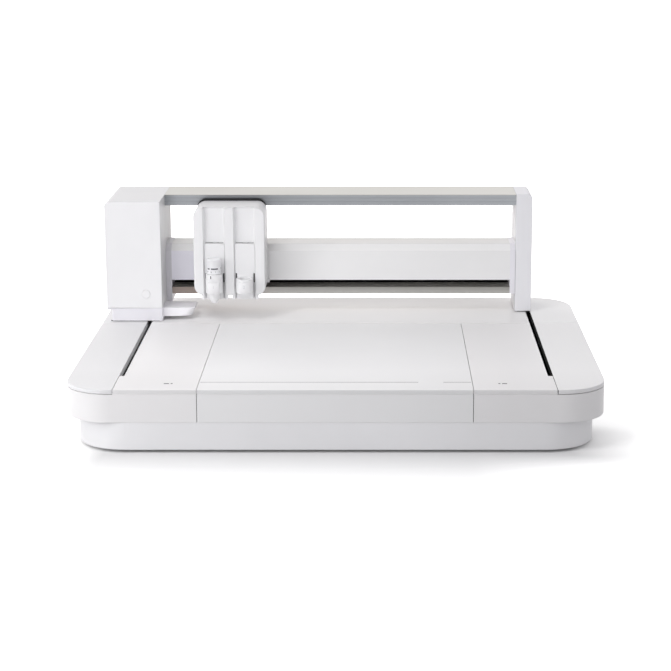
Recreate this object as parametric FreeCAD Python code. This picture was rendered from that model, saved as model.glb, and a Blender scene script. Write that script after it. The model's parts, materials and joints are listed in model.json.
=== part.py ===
import FreeCAD, Part
import math
import os
from FreeCAD import Vector

# Flatbed craft cutter. Millimetres, +Z up, front towards -Y.
# The origin is the centre of the base's footprint on the table.

# Base shell
base_width = 602.0
base_depth = 481.6
corner_radius = 51.0
foot_height = 2.9
foot_radius = 9.0
lower_band_height = 31.6
upper_band_height = 37.5
lower_band_inset = 11.6
lower_band_front_inset = 0.4
lower_corner_radius = 57.0
top_edge_radius = 0.6
bottom_edge_radius = 0.4
tray_edge_radius = 1.5
edge_line_height = 0.5
edge_line_depth = 0.6
casing_wall = 4.0
tray_wall = 3.5
tray_floor = 2.5
tray_lip = 5.0
deck_thickness = 3.0
side_deck_thickness = 4.5
seam_height = 1.0
seam_depth = 3.0
panel_gap = 0.7
groove_in_deck = 0.8
lip_setback = 1.0
lip_clearance = 0.2
cut_past = 1.0

# Deck layout
side_deck_width = 56.2
slot_width = 6.0
slot_front_margin = 61.0
slot_end_gap = 3.5
bed_width = 305.0
bed_length = 325.6
bed_ledge = 6.0
ledge_bearing = 4.0
ledge_thickness = 2.5

# Gantry
gantry_rear_margin = 19.5
gantry_height = 153.7
gantry_gap = 1.0
tower_width = 70.4
tower_depth = 124.8
tower_overhang = 16.3
tower_edge_radius = 7.0
skirt_height = 16.0
skirt_inset = 6.5
skirt_corner_radius = 1.5
skirt_flange_inset = 0.8
skirt_flange_thickness = 2.0
skirt_groove_height = 0.6
skirt_groove_depth = 1.0
post_width = 21.3
post_edge_radius = 6.0
cover_wall = 2.5
post_wall = 1.7
back_cover_thickness = 3.0
small_edge_radius = 1.2
frame_thickness = 3.0
frame_clearance = 0.5
bracket_length = 50.0
frame_top_gap = 1.8
tower_boss_radius = 4.5
tower_boss_length = 14.0
post_boss_radius = 3.5
post_boss_length = 8.0
post_bridge_height = 4.0
cover_boss_inset = 4.0
post_screw_lift = 14.0

# Beams between tower and post
beam_depth = 69.5
top_beam_height = 14.0
beam_wall = 2.2
groove_depth = 0.3
groove_height = 0.8
beam_rib = 2.0
beam_edge_radius = 0.6
rail_clearance = 24.4
rail_height = 8.9
guide_gap = 9.2
lower_cover_height = 46.0
lower_cover_depth = 49.0
lower_cover_chamfer = 8.0
back_plate_thickness = 2.0
left_cap_thickness = 6.9
left_cap_drop = 9.7
right_cap_thickness = 6.6
end_cap_proud = 0.8
tenon_clearance = 0.4
tenon_length = 20.0
top_tenon_inset = 8.0
rail_tenon_inset = 2.0
rail_tenon_rear_inset = 10.0
belt_window_gap = 3.0

# Pad on the inner side of the tower
pad_length = 41.3
pad_depth = 39.0
pad_height = 11.0
pad_lift = 5.0
pad_setback = 9.0
pad_corner_radius = 9.0
pad_rear_radius = 3.0
pad_edge_radius = 3.0
pad_end_slope = 6.0

# Carriage
carriage_width = 90.0
carriage_depth = 54.0
carriage_beam_gap = 3.3
carriage_bottom_height = 34.0
carriage_top_drop = 7.5
carriage_home_gap = 41.0
carriage_corner_radius = 12.0
carriage_edge_radius = 2.0
carriage_wall = 2.5
tool_pitch = 38.3
channel_width = 28.0
channel_depth = 7.0
channel_floor_width = 22.5
slit_width = 1.6
slit_top_height = 28.2
slit_length = 13.0
slide_gap_height = 0.8
chin_width = 33.0
chin_height = 5.0
chin_setback = 1.5
stud_length = 2.2
stud_depth = 6.0
stud_height = 4.5
stud_lift = 7.0
carriage_plate_thickness = 3.0
plate_flange_thickness = 1.5
plate_flange_rise = 2.5
plate_flange_inset = 1.0

# Tool holders
tool_offset = 8.0
lift_travel = 25.0
socket_radius = 8.1
ring_wall = 2.4
ring_height = 18.0
ring_lift = 5.7
slide_thickness = 2.0
slide_recess = 3.0
slide_height = 65.9
slide_clearance = 0.4
nut_height = 16.0
nut_lift = 38.0
nut_side = 6.0
nut_far_side = 5.0
nut_depth = 7.0
nut_gap = 3.0
arm_width = 10.0
arm_gap = 0.5
bridge_width = 14.0
lock_thickness = 2.0
lock_clearance = 0.3
lock_half_width = 7.0
lock_height = 11.0
lock_stem_width = 5.6
lock_wrap = 4.0

# Blade holder
barrel_radius = 8.0
flange_radius = 10.2
flange_height = 6.0
dial_height = 19.2
dial_band_height = 5.8
dial_band_radius = 8.7
dial_radius = 9.1
neck_radius = 5.0
nose_length = 12.0
blade_radius = 1.0
blade_exposure = 0.9
turning_clearance = 0.1
barrel_edge = 0.7
barrel_below_ring = 1.3
nose_radius = 5.9
nose_shoulder_radius = 4.9
nose_tip_radius = 2.6
nose_taper = 0.55
nose_shoulder = 0.25
blade_point = 1.5
dial_edge = 1.5

# Running gear
rail_radius = 5.0
rail_center_height = 36.0
block_half_width = 11.0
slider_length = 80.0
slider_crown = 1.0
jaw_thickness = 2.5
jaw_root = 4.0
jaw_overlap = 3.0
belt_side_gap = 0.5
stop_gap = 3.0
running_clearance = 0.05
moving_clearance = 0.3
shaft_radius = 4.0
shaft_height = 52.0
pulley_radius = 8.0
flange_step = 3.0
flange_thickness = 1.0
belt_width = 8.0
belt_thickness = 1.4
belt_offset = 20.0
idler_front_margin = 50.0
front_block_depth = 8.0
pin_reach = 2.0
rail_wall_gap = 4.5
pin_radius = 2.5
y_motor_size = 28.0
y_motor_length = 45.0
y_motor_wall_gap = 1.5
y_motor_edge_radius = 3.0
bearing_thickness = 8.0
bearing_half_depth = 10.0
bearing_crown = 5.0
bearing_gap = 6.0
chassis_thickness = 1.5
boss_height = 4.0
boss_radius = 6.0
screw_inset = 30.0
chassis_side_gap = 4.0
seal_width = 8.0
seal_drop = 2.0
seal_slit = 0.8
x_pulley_radius = 7.0
x_belt_width = 6.0
x_belt_thickness = 1.2
x_belt_setback = 23.0
x_belt_lift = 5.5
x_flange_step = 2.5
x_motor_frame_gap = 4.0
x_idler_cap_gap = 2.0
x_motor_size = 35.0
x_motor_height = 30.0
x_motor_edge_radius = 4.0
x_shaft_length = 12.0
motor_bore_gap = 2.0
idler_block_half = 8.0
upper_roller_radius = 6.0
lower_roller_radius = 4.0
roller_width = 8.0
roller_spacing = 28.0
axle_radius = 2.0
axle_end = 0.5
roller_setback = 1.0
belt_clamp_half = 10.0
belt_clamp_gap = 1.5
lift_motor_size = 20.0
lift_motor_height = 25.0
lift_motor_edge_radius = 2.0
lift_shaft_length = 7.0
lift_shaft_gap = 1.0
lift_screw_gap = 0.5
lift_screw_radius = 2.5
guide_radius = 2.0
guide_offset = 7.0

# Power button
button_radius = 5.4
button_height = 35.3
button_from_side = 20.5
button_travel = 0.8
button_proud = 0.6
button_edge_radius = 0.5
button_depth = 3.0
button_flange = 1.5
button_flange_gap = 0.1
switch_half = 3.0
switch_gap = 0.5
button_board_setback = 7.5
button_board_half_height = 12.0
button_board_half_width = 17.0
button_pillar_radius = 2.0
button_pillar_offset = 13.0

# Electronics
board_thickness = 1.6
board_width = 120.0
board_depth = 80.0
jack_width = 9.0
port_width = 12.0
port_height = 11.0
port_depth = 18.0
port_recess = 0.5
board_wall_gap = 3.0
standoff_height = 6.0
standoff_radius = 3.0
standoff_inset = 6.0
chip_size = 18.0
chip_height = 2.0
driver_size = 12.0
driver_height = 1.6
capacitor_size = 10.0
capacitor_height = 9.0
jack_bore_radius = 3.1
jack_bore_depth = 11.0
jack_pin_radius = 1.0
jack_pin_recess = 1.5
port_wall = 1.5
port_mouth_depth = 10.0
port_tongue_gap = 2.0
port_tongue_rise = 2.5

# Screws
screw_radius = 1.5
screw_head_radius = 3.4
screw_head_height = 2.0
cover_screw_radius = 1.2
cover_head_radius = 2.6
cover_head_height = 1.2
cover_head_recess = 1.5
cover_screw_length = 6.0
cover_pilot_length = 7.0

across = Vector(1, 0, 0)
along = Vector(0, 1, 0)
up = Vector(0, 0, 1)

# Derived positions of the base
side = base_width / 2
front = -base_depth / 2
rear = base_depth / 2
band_bottom = foot_height + lower_band_height
deck = band_bottom + upper_band_height
deck_under = deck - deck_thickness
side_deck_under = deck - side_deck_thickness
seam_bottom = side_deck_under - seam_height
slot_outer = side - side_deck_width
slot_inner = slot_outer - slot_width
slot_centre = slot_outer - slot_width / 2
slot_front = front + slot_front_margin
bed_half = bed_width / 2
bed_rear = front + bed_length
tray_inner = lower_band_inset + tray_wall
chassis_bottom = foot_height + tray_floor + boss_height
chassis_top = chassis_bottom + chassis_thickness

# Derived positions of the gantry
gantry_back = rear - gantry_rear_margin
gantry_bottom = deck + gantry_gap
gantry_top = deck + gantry_height
beam_front = gantry_back - beam_depth
tower_front = gantry_back - tower_depth
tower_right = -slot_centre + tower_overhang
tower_left = tower_right - tower_width
tower_cover_bottom = gantry_bottom + skirt_height
tower_cover_rear = gantry_back - back_cover_thickness
post_right = slot_centre + frame_thickness / 2 + frame_clearance + post_wall
post_left = post_right - post_width
bracket_front = beam_front + (beam_depth - bracket_length) / 2
bracket_rear = bracket_front + bracket_length
slot_rear = bracket_rear + slot_end_gap
beam_bottom = gantry_top - top_beam_height
rail_bottom = deck + rail_clearance
rail_top = rail_bottom + rail_height
lower_cover_bottom = rail_top + guide_gap
lower_cover_top = lower_cover_bottom + lower_cover_height
lower_cover_rear = beam_front + lower_cover_depth
cap_left = tower_right + left_cap_thickness
cap_right = post_left - right_cap_thickness
tenon_end = slot_centre - frame_thickness / 2

# Derived positions of the running gear
slider_rear = bracket_rear
slider_front = slider_rear - slider_length
slider_top = rail_center_height + block_half_width + slider_crown
belt_x = slot_centre - belt_offset
pulley_flange = pulley_radius + flange_step
shaft_y = rear - tray_inner - y_motor_size / 2 - y_motor_wall_gap
idler_y = front + idler_front_margin
belt_inner = pulley_radius + moving_clearance
belt_outer = belt_inner + belt_thickness
rail_front = idler_y - pulley_flange
rail_rear = rear - tray_inner - rail_wall_gap
x_belt_y = beam_front + x_belt_setback
x_belt_inner = x_pulley_radius + moving_clearance
x_belt_outer = x_belt_inner + x_belt_thickness
x_belt_bottom = lower_cover_bottom + x_belt_lift
x_belt_top = x_belt_bottom + x_belt_width
x_flange = x_pulley_radius + x_flange_step
x_motor_x = -slot_centre - frame_thickness / 2 - x_motor_size / 2 - x_motor_frame_gap
x_idler_x = cap_right - x_flange - x_idler_cap_gap
motor_flange_bottom = x_belt_top + belt_window_gap
motor_flange_top = motor_flange_bottom + frame_thickness

# Derived positions of the carriage and tools
carriage_left = tower_right + carriage_home_gap
carriage_right = carriage_left + carriage_width
carriage_x = (carriage_left + carriage_right) / 2
carriage_back = beam_front - carriage_beam_gap
carriage_front = carriage_back - carriage_depth
plate_back = carriage_back + plate_flange_thickness
carriage_bottom = deck + carriage_bottom_height
carriage_top = gantry_top - carriage_top_drop
tool_x = (carriage_x - tool_pitch / 2, carriage_x + tool_pitch / 2)
tool_y = carriage_front - tool_offset
channel_back = carriage_front + channel_depth + carriage_wall
screw_y = channel_back + lift_motor_size / 2
chin_bottom = carriage_bottom - chin_height
slit_top = carriage_bottom + slit_top_height
slit_bottom = slit_top - slit_length
lift_motor_top = carriage_top - carriage_wall - lift_shaft_gap
lift_motor_bottom = lift_motor_top - lift_motor_height
slide_top = carriage_bottom + slide_height
nut_bottom = carriage_bottom + nut_lift
nut_top = nut_bottom + nut_height
ring_radius = socket_radius + ring_wall
ring_bottom = carriage_bottom + ring_lift
ring_top = ring_bottom + ring_height
ring_middle = (ring_bottom + ring_top) / 2
upper_roller_z = beam_bottom - upper_roller_radius - moving_clearance
lower_roller_z = rail_top + lower_roller_radius + moving_clearance
roller_y = beam_front + roller_setback
flange_bottom = ring_top + turning_clearance
flange_top = flange_bottom + flange_height
dial_bottom = flange_top + moving_clearance
dial_top = dial_bottom + dial_height
barrel_bottom = ring_bottom - barrel_below_ring
nose_tip = barrel_bottom - nose_length
button_x = tower_right - button_from_side
button_z = deck + button_height
button_wall = tower_front + cover_wall

# Derived positions of the board, its two sockets and the openings for them
port_rear = rear - lower_band_inset - port_recess
port_front = port_rear - port_depth
board_left = bed_half / 3
board_rear = rear - tray_inner - board_wall_gap
board_bottom = chassis_top + standoff_height
board_top = board_bottom + board_thickness
jack_x = board_left + board_width / 4
port_x = board_left + board_width * 3 / 5


def box(x0, x1, y0, y1, z0, z1):
    """A box between two corners."""
    return Part.makeBox(x1 - x0, y1 - y0, z1 - z0, Vector(x0, y0, z0))


def side_box(hand, x0, x1, y0, y1, z0, z1):
    """A box given for the right half, put on the right (1) or left (-1)."""
    low, high = sorted((hand * x0, hand * x1))
    return box(low, high, y0, y1, z0, z1)


def rod(radius, start, end):
    """A round bar from one point to another."""
    along = Vector(*end) - Vector(*start)
    return Part.makeCylinder(radius, along.Length, Vector(*start), along)


def upright(radius, x, y, z0, z1):
    """A round bar that stands between two heights."""
    return rod(radius, (x, y, z0), (x, y, z1))


def lengthwise(radius, x, z, y0, y1):
    """A round bar from front to back."""
    return rod(radius, (x, y0, z), (x, y1, z))


def crosswise(radius, y, z, x0, x1):
    """A round bar from one side to the other."""
    return rod(radius, (x0, y, z), (x1, y, z))


def parallel_edges(solid, axis):
    """The straight edges of a solid that run along an axis."""
    found = []
    for edge in solid.Edges:
        if len(edge.Vertexes) == 2:
            along = edge.Vertexes[1].Point - edge.Vertexes[0].Point
            if abs(abs(along.dot(axis)) - along.Length) < 1e-6:
                found.append(edge)
    return found


def edges_on(solid, axis, level):
    """The edges of a solid that lie wholly in one plane."""
    found = []
    for edge in solid.Edges:
        if all(abs(v.Point.dot(axis) - level) < 1e-6 for v in edge.Vertexes):
            found.append(edge)
    return found


def edges_through(solid, axis, point):
    """The edges along an axis whose line passes a point."""
    found = []
    for edge in parallel_edges(solid, axis):
        off = edge.Vertexes[0].Point - point
        across = off - axis * off.dot(axis)
        if across.Length < 1e-6:
            found.append(edge)
    return found


def rounded_box(x0, x1, y0, y1, z0, z1, radius, axis=up):
    """A box whose four edges along an axis are rounded."""
    solid = box(x0, x1, y0, y1, z0, z1)
    return solid.makeFillet(radius, parallel_edges(solid, axis))


def footprint(inset, z0, z1):
    """The base's outline, inset all round, between two heights."""
    reach_x = side - inset
    reach_y = rear - inset
    return rounded_box(-reach_x, reach_x, -reach_y, reach_y, z0, z1, corner_radius - inset)


def lower_footprint(inset, z0, z1):
    """The lower band's outline, inset all round, between two heights."""
    reach_x = side - lower_band_inset - inset
    near = front + lower_band_front_inset + inset
    far = rear - lower_band_inset - inset
    return rounded_box(-reach_x, reach_x, near, far, z0, z1, lower_corner_radius - inset)


def turned(points, x, y):
    """A solid turned about an upright axis from a radius and height profile."""
    wire = Part.makePolygon([Vector(x + r, y, z) for r, z in points + points[:1]])
    return Part.Face(wire).revolve(Vector(x, y, 0), up, 360)


def beam(points, x0, x1):
    """A beam along X from a profile of depth and height points."""
    wire = Part.makePolygon([Vector(x0, y, z) for y, z in points + points[:1]])
    return Part.Face(wire).extrude(Vector(x1 - x0, 0, 0))


def belt_loop(start, end, inner, outer, width):
    """A closed belt round two equal wheels whose axes are parallel."""
    offset = width.cross(end - start).normalize()
    loops = []
    for radius in (outer, inner):
        corners = [
            start + offset * radius,
            end + offset * radius,
            end - offset * radius,
            start - offset * radius,
        ]
        solid = Part.Face(Part.makePolygon(corners + corners[:1])).extrude(width)
        for centre in (start, end):
            solid = solid.fuse(Part.makeCylinder(radius, width.Length, centre, width))
        loops.append(solid)
    return loops[0].cut(loops[1])


def wheel(start, axle, radius, flange, bore):
    """A flanged wheel on an axle line, starting at a point."""
    unit = Vector(axle).normalize()
    hub = Part.makeCylinder(radius, axle.Length, start, axle)
    for step in (0.0, axle.Length - flange_thickness):
        hub = hub.fuse(Part.makeCylinder(flange, flange_thickness, start + unit * step, axle))
    return hub.cut(Part.makeCylinder(bore, axle.Length, start, axle))


def base_envelope():
    """The outer form of the base's upper band and deck."""
    solid = footprint(0.0, band_bottom, deck)
    solid = solid.makeFillet(top_edge_radius, edges_on(solid, up, deck))
    solid = solid.makeFillet(bottom_edge_radius, edges_on(solid, up, band_bottom))
    heights = (side_deck_under - edge_line_height, side_deck_under)
    return solid.cut(footprint(-cut_past, *heights).cut(footprint(edge_line_depth, *heights)))


def screw_points():
    """Where the tray is screwed to the chassis."""
    reach_x = side - tray_inner - screw_inset
    reach_y = rear - tray_inner - screw_inset
    columns = (-reach_x, -reach_x / 3, reach_x / 3, reach_x)
    return [(x, y) for x in columns for y in (-reach_y, reach_y)]


def bottom_tray():
    floor_top = foot_height + tray_floor
    lip_top = band_bottom + tray_lip
    head_top = foot_height + screw_head_height
    tray = lower_footprint(0.0, foot_height, band_bottom)
    tray = tray.makeFillet(tray_edge_radius, edges_on(tray, up, foot_height))
    lip = lower_footprint(lip_setback + lip_clearance, band_bottom, lip_top)
    skirt_depths = (front, front + casing_wall + lip_clearance)
    tray = tray.fuse(lip.cut(box(-bed_half, bed_half, *skirt_depths, band_bottom, lip_top)))
    tray = tray.cut(lower_footprint(tray_wall, floor_top, lip_top + cut_past))
    for x, y in screw_points():
        tray = tray.fuse(upright(boss_radius, x, y, floor_top, chassis_bottom))
        tray = tray.cut(upright(screw_radius + lip_clearance, x, y, foot_height, chassis_bottom))
        tray = tray.cut(upright(screw_head_radius + lip_clearance, x, y, foot_height, head_top))
    low = board_top - panel_gap
    high = board_top + port_height + panel_gap
    for x, width in ((jack_x, jack_width), (port_x, port_width)):
        sides = (x - panel_gap, x + width + panel_gap)
        tray = tray.cut(box(*sides, rear - tray_inner - cut_past, rear, low, high))
    return tray


def bed_shelf():
    """The shelf that the bed panel lies on, open in the middle."""
    bottom = deck_under - ledge_thickness
    reach = bed_half + ledge_bearing
    inner = bed_half - bed_ledge
    shelf = box(-reach, reach, front + casing_wall, bed_rear + ledge_bearing, bottom, deck_under)
    return shelf.cut(box(-inner, inner, front, bed_rear - bed_ledge, bottom, deck_under))


def upper_casing(envelope):
    above = deck + cut_past
    below = band_bottom - cut_past
    near = front - cut_past
    cavity = footprint(casing_wall, band_bottom + casing_wall, deck_under)
    lip_hole = lower_footprint(lip_setback, below, band_bottom + casing_wall + cut_past)
    casing = envelope.cut(cavity).cut(lip_hole).fuse(bed_shelf())
    casing = casing.cut(box(-bed_half, bed_half, near, bed_rear, deck_under, above))
    casing = casing.cut(box(-bed_half, bed_half, near, front + casing_wall + panel_gap, below, deck))
    inside = footprint(seam_depth, seam_bottom, side_deck_under)
    for hand in (-1, 1):
        outer_strip = (hand, slot_outer - panel_gap, side + cut_past, near, rear + cut_past)
        casing = casing.cut(side_box(*outer_strip, side_deck_under, above))
        casing = casing.cut(side_box(*outer_strip, seam_bottom, side_deck_under).cut(inside))
        slot = (hand, slot_inner, slot_outer, slot_front, slot_rear)
        casing = casing.cut(side_box(*slot, deck_under - cut_past, above))
        groove = (hand, bed_half, slot_inner, bed_rear - panel_gap, bed_rear)
        casing = casing.cut(side_box(*groove, deck - groove_in_deck, above))
    return casing


def bed_panel(envelope):
    half = bed_half - panel_gap
    near = front - cut_past
    above = deck + cut_past
    top = box(-half, half, near, bed_rear - panel_gap, deck_under, above)
    skirt = box(-half, half, near, front + casing_wall, band_bottom - cut_past, above)
    return envelope.common(top.fuse(skirt))


def side_deck(envelope, hand):
    plan = (slot_outer, side + cut_past, front - cut_past, rear + cut_past)
    return envelope.common(side_box(hand, *plan, side_deck_under, deck + cut_past))


def slot_seals():
    near = frame_thickness / 2 + seal_slit
    bottom = side_deck_under - seal_drop
    outer = (slot_centre + near, slot_outer + seal_width, slot_front, slot_rear)
    inner = (slot_inner - seal_width, slot_centre - near, slot_front, slot_rear)
    solids = []
    for hand in (-1, 1):
        solids.append(side_box(hand, *outer, bottom, side_deck_under))
        solids.append(side_box(hand, *inner, bottom, deck_under))
    return Part.makeCompound(solids)


def chassis_plate():
    reach_x = side - tray_inner - chassis_side_gap
    reach_y = rear - tray_inner - rail_wall_gap
    radius = lower_corner_radius - tray_wall
    plate = rounded_box(-reach_x, reach_x, -reach_y, reach_y, chassis_bottom, chassis_top, radius)
    for x, y in screw_points():
        plate = plate.cut(upright(screw_radius + lip_clearance, x, y, chassis_bottom, chassis_top))
    inset = standoff_inset
    for x in (board_left + inset, board_left + board_width - inset):
        for y in (board_rear - board_depth + inset, board_rear - inset):
            plate = plate.fuse(upright(standoff_radius, x, y, chassis_top, board_bottom))
    return plate


def tray_screws():
    solids = []
    for x, y in screw_points():
        head = upright(screw_head_radius, x, y, foot_height, foot_height + screw_head_height)
        solids.append(head.fuse(upright(screw_radius, x, y, foot_height, chassis_top)))
    return Part.makeCompound(solids)


def feet():
    reach_x = side - lower_band_inset - corner_radius
    reach_y = rear - lower_band_inset - corner_radius / 2
    spots = [(x, y) for x in (-reach_x, reach_x) for y in (-reach_y, reach_y)]
    return Part.makeCompound([upright(foot_radius, x, y, 0.0, foot_height) for x, y in spots])


def y_rail(hand, radius):
    """One of the two long round rails, or with more radius the hole for it."""
    return lengthwise(radius, hand * slot_centre, rail_center_height, rail_front, rail_rear)


def y_rails():
    return Part.makeCompound([y_rail(hand, rail_radius) for hand in (-1, 1)])


def rail_blocks():
    low = slot_centre - block_half_width
    high = slot_centre + block_half_width
    front_top = shaft_height + pulley_radius
    rear_top = slider_top - 2 * slider_crown
    pin_end = belt_x - belt_width / 2 - flange_thickness - pin_reach
    solids = []
    for hand in (-1, 1):
        front_plan = (low, high, rail_front, idler_y + front_block_depth)
        front_block = side_box(hand, *front_plan, chassis_top, front_top)
        pin = crosswise(pin_radius, idler_y, shaft_height, hand * pin_end, hand * low)
        rear_plan = (low, high, slider_rear + stop_gap, rail_rear)
        rear_block = side_box(hand, *rear_plan, chassis_top, rear_top)
        hole = y_rail(hand, rail_radius)
        solids.append(front_block.fuse(pin).cut(hole))
        solids.append(rear_block.cut(hole))
    return Part.makeCompound(solids)


def y_belts():
    solids = []
    for hand in (-1, 1):
        left = hand * belt_x - belt_width / 2
        start = Vector(left, idler_y, shaft_height)
        end = Vector(left, shaft_y, shaft_height)
        solids.append(belt_loop(start, end, belt_inner, belt_outer, across * belt_width))
    return Part.makeCompound(solids)


def y_wheel(hand, y, bore):
    """A drive or idler wheel for one of the two long belts."""
    width = belt_width + 2 * (belt_side_gap + flange_thickness)
    start = Vector(hand * belt_x - width / 2, y, shaft_height)
    return wheel(start, across * width, pulley_radius, pulley_flange, bore)


def y_drive_shaft():
    reach = belt_x + belt_width / 2 + 2 * flange_thickness
    return crosswise(shaft_radius, shaft_y, shaft_height, -reach, reach)


def y_drive_pulleys():
    return Part.makeCompound([y_wheel(hand, shaft_y, shaft_radius) for hand in (-1, 1)])


def shaft_supports():
    outer = belt_x - belt_width / 2 - flange_thickness - bearing_gap
    depth = (shaft_y - bearing_half_depth, shaft_y + bearing_half_depth)
    top = shaft_height + shaft_radius + bearing_crown
    hole = crosswise(shaft_radius + running_clearance, shaft_y, shaft_height, -side, side)
    solids = []
    for hand in (-1, 1):
        block = side_box(hand, outer - bearing_thickness, outer, *depth, chassis_top, top)
        solids.append(block.cut(hole))
    half = y_motor_length / 2
    solids.append(box(-half, half, *depth, chassis_top, shaft_height - y_motor_size / 2))
    return Part.makeCompound(solids)


def y_motor():
    half = y_motor_size / 2
    length = y_motor_length / 2
    depth = (shaft_y - half, shaft_y + half)
    heights = (shaft_height - half, shaft_height + half)
    body = rounded_box(-length, length, *depth, *heights, y_motor_edge_radius, across)
    return body.cut(crosswise(shaft_radius + running_clearance, shaft_y, shaft_height, -length, length))


def main_board():
    right = board_left + board_width
    middle = board_rear - board_depth / 2
    board = box(board_left, right, board_rear - board_depth, board_rear, board_bottom, board_top)
    blocks = (
        (board_left + 2 * chip_size, middle, chip_size, chip_height),
        (board_left + 4 * chip_size, middle - chip_size, driver_size, driver_height),
        (right - 1.5 * capacitor_size, middle, capacitor_size, capacitor_height),
    )
    for x, y, size, tall in blocks:
        half = size / 2
        board = board.fuse(box(x - half, x + half, y - half, y + half, board_top, board_top + tall))
    return board


def socket_shell(x, width):
    """The metal or plastic shell of a rear socket, standing on the board."""
    return box(x, x + width, port_front, port_rear, board_top, board_top + port_height)


def dc_jack():
    x = jack_x + jack_width / 2
    z = board_top + port_height / 2
    bottom = port_rear - jack_bore_depth
    bore = lengthwise(jack_bore_radius, x, z, bottom, port_rear)
    pin = lengthwise(jack_pin_radius, x, z, bottom, port_rear - jack_pin_recess)
    return socket_shell(jack_x, jack_width).cut(bore).fuse(pin)


def usb_port():
    left = port_x + port_wall
    right = port_x + port_width - port_wall
    low = board_top + port_wall
    high = board_top + port_height - port_wall
    bottom = port_rear - port_mouth_depth
    mouth = box(left, right, bottom, port_rear, low, high)
    tongue_sides = (left + port_tongue_gap, right - port_tongue_gap)
    tongue_heights = (low + port_tongue_rise, high - port_tongue_rise)
    tongue = box(*tongue_sides, bottom, port_rear - port_wall, *tongue_heights)
    return socket_shell(port_x, port_width).cut(mouth).fuse(tongue)


def y_sliders():
    low = slot_centre - block_half_width
    high = slot_centre + block_half_width
    block_bottom = rail_center_height - block_half_width
    belt_edge = belt_x + belt_width / 2 + belt_side_gap
    clamp_rear = slider_front + slider_length / 2
    run_low = shaft_height + belt_inner - moving_clearance
    run_high = shaft_height + belt_outer + moving_clearance
    clamp_top = run_high + jaw_thickness
    solids = []
    for hand in (-1, 1):
        solid = side_box(hand, low, high, slider_front, slider_rear, block_bottom, slider_top)
        neck = (belt_edge, low + jaw_overlap, slider_front, clamp_rear)
        solid = solid.fuse(side_box(hand, *neck, slider_top - jaw_root, clamp_top))
        jaw = (belt_x - belt_width / 2, belt_edge, slider_front, clamp_rear)
        solid = solid.fuse(side_box(hand, *jaw, run_low - jaw_thickness, run_low))
        solid = solid.fuse(side_box(hand, *jaw, run_high, clamp_top))
        solids.append(solid.cut(y_rail(hand, rail_radius + running_clearance)))
    return Part.makeCompound(solids)


def top_tenon(grow):
    """The depths and heights of the bar through the walls at the top, grown by a clearance."""
    low = beam_bottom + beam_wall
    high = gantry_top - beam_wall - frame_top_gap
    depths = (bracket_front + top_tenon_inset - grow, bracket_rear - top_tenon_inset + grow)
    return (*depths, low - grow, high + grow)


def rail_tenon(grow):
    """The depths and heights of the bar through the walls at the lower rail, grown by a clearance."""
    inset = rail_tenon_inset
    depths = (bracket_front + inset - grow, lower_cover_rear - rail_tenon_rear_inset + grow)
    return (*depths, rail_bottom + inset - grow, rail_top - inset + grow)


def belt_window():
    """The depths and heights of the opening for the belt through the walls at the tower."""
    gap = belt_window_gap
    reach = x_belt_outer + gap
    return (x_belt_y - reach, x_belt_y + reach, x_belt_bottom - gap, motor_flange_bottom - cut_past / 2)


def gantry_frames():
    half = frame_thickness / 2
    top = gantry_top - cover_wall - frame_top_gap
    uprights = []
    for x in (-slot_centre, slot_centre):
        uprights.append(box(x - half, x + half, bracket_front, bracket_rear, slider_top, top))
    inner = -slot_centre - half
    left = uprights[0].cut(box(inner - cut_past, -slot_centre + half + cut_past, *belt_window()))
    reach = x_motor_size / 2
    heights = (motor_flange_bottom, motor_flange_top)
    flange = box(x_motor_x - reach, inner, bracket_front, x_belt_y + reach, *heights)
    hole = upright(x_pulley_radius, x_motor_x, x_belt_y, *heights)
    return Part.makeCompound([left.fuse(flange.cut(hole)), uprights[1]])


def screw_hole(x, z, length):
    """A hole for a cover's screw, down from the face under the back cover."""
    return lengthwise(cover_screw_radius, x, z, tower_cover_rear - length, tower_cover_rear)


def tower_screw_points():
    inset = cover_wall + cover_boss_inset
    low = tower_cover_bottom + inset + skirt_flange_thickness
    high = beam_bottom - inset
    return [(x, z) for x in (tower_left + inset, tower_right - inset) for z in (low, high)]


def post_screw_points():
    middle = (post_left + post_wall + tenon_end) / 2
    return [(middle, gantry_bottom + post_screw_lift), (middle, (lower_cover_top + beam_bottom) / 2)]


def tower_cover():
    wall = cover_wall
    plan = (tower_left, tower_right, tower_front, tower_cover_rear)
    body = box(*plan, tower_cover_bottom, gantry_top)
    body = body.makeFillet(tower_edge_radius, edges_through(body, along, Vector(tower_left, 0, gantry_top)))
    body = body.makeFillet(small_edge_radius, edges_on(body, along, tower_front))
    inner_plan = (tower_left + wall, tower_right - wall, tower_front + wall, gantry_back)
    cavity = box(*inner_plan, tower_cover_bottom - cut_past, gantry_top - wall)
    inner_corner = Vector(tower_left + wall, 0, gantry_top - wall)
    cavity = cavity.makeFillet(tower_edge_radius - wall, edges_through(cavity, along, inner_corner))
    body = body.cut(cavity)
    boss_front = tower_cover_rear - tower_boss_length
    for x, z in tower_screw_points():
        body = body.fuse(lengthwise(tower_boss_radius, x, z, boss_front, tower_cover_rear))
        body = body.cut(screw_hole(x, z, cover_pilot_length))
    wall_sides = (tower_right - wall - cut_past, tower_right + cut_past)
    for window in (top_tenon(tenon_clearance), rail_tenon(tenon_clearance), belt_window()):
        body = body.cut(box(*wall_sides, *window))
    button_depths = (tower_front - cut_past, button_wall + cut_past)
    return body.cut(lengthwise(button_radius + moving_clearance, button_x, button_z, *button_depths))


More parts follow.
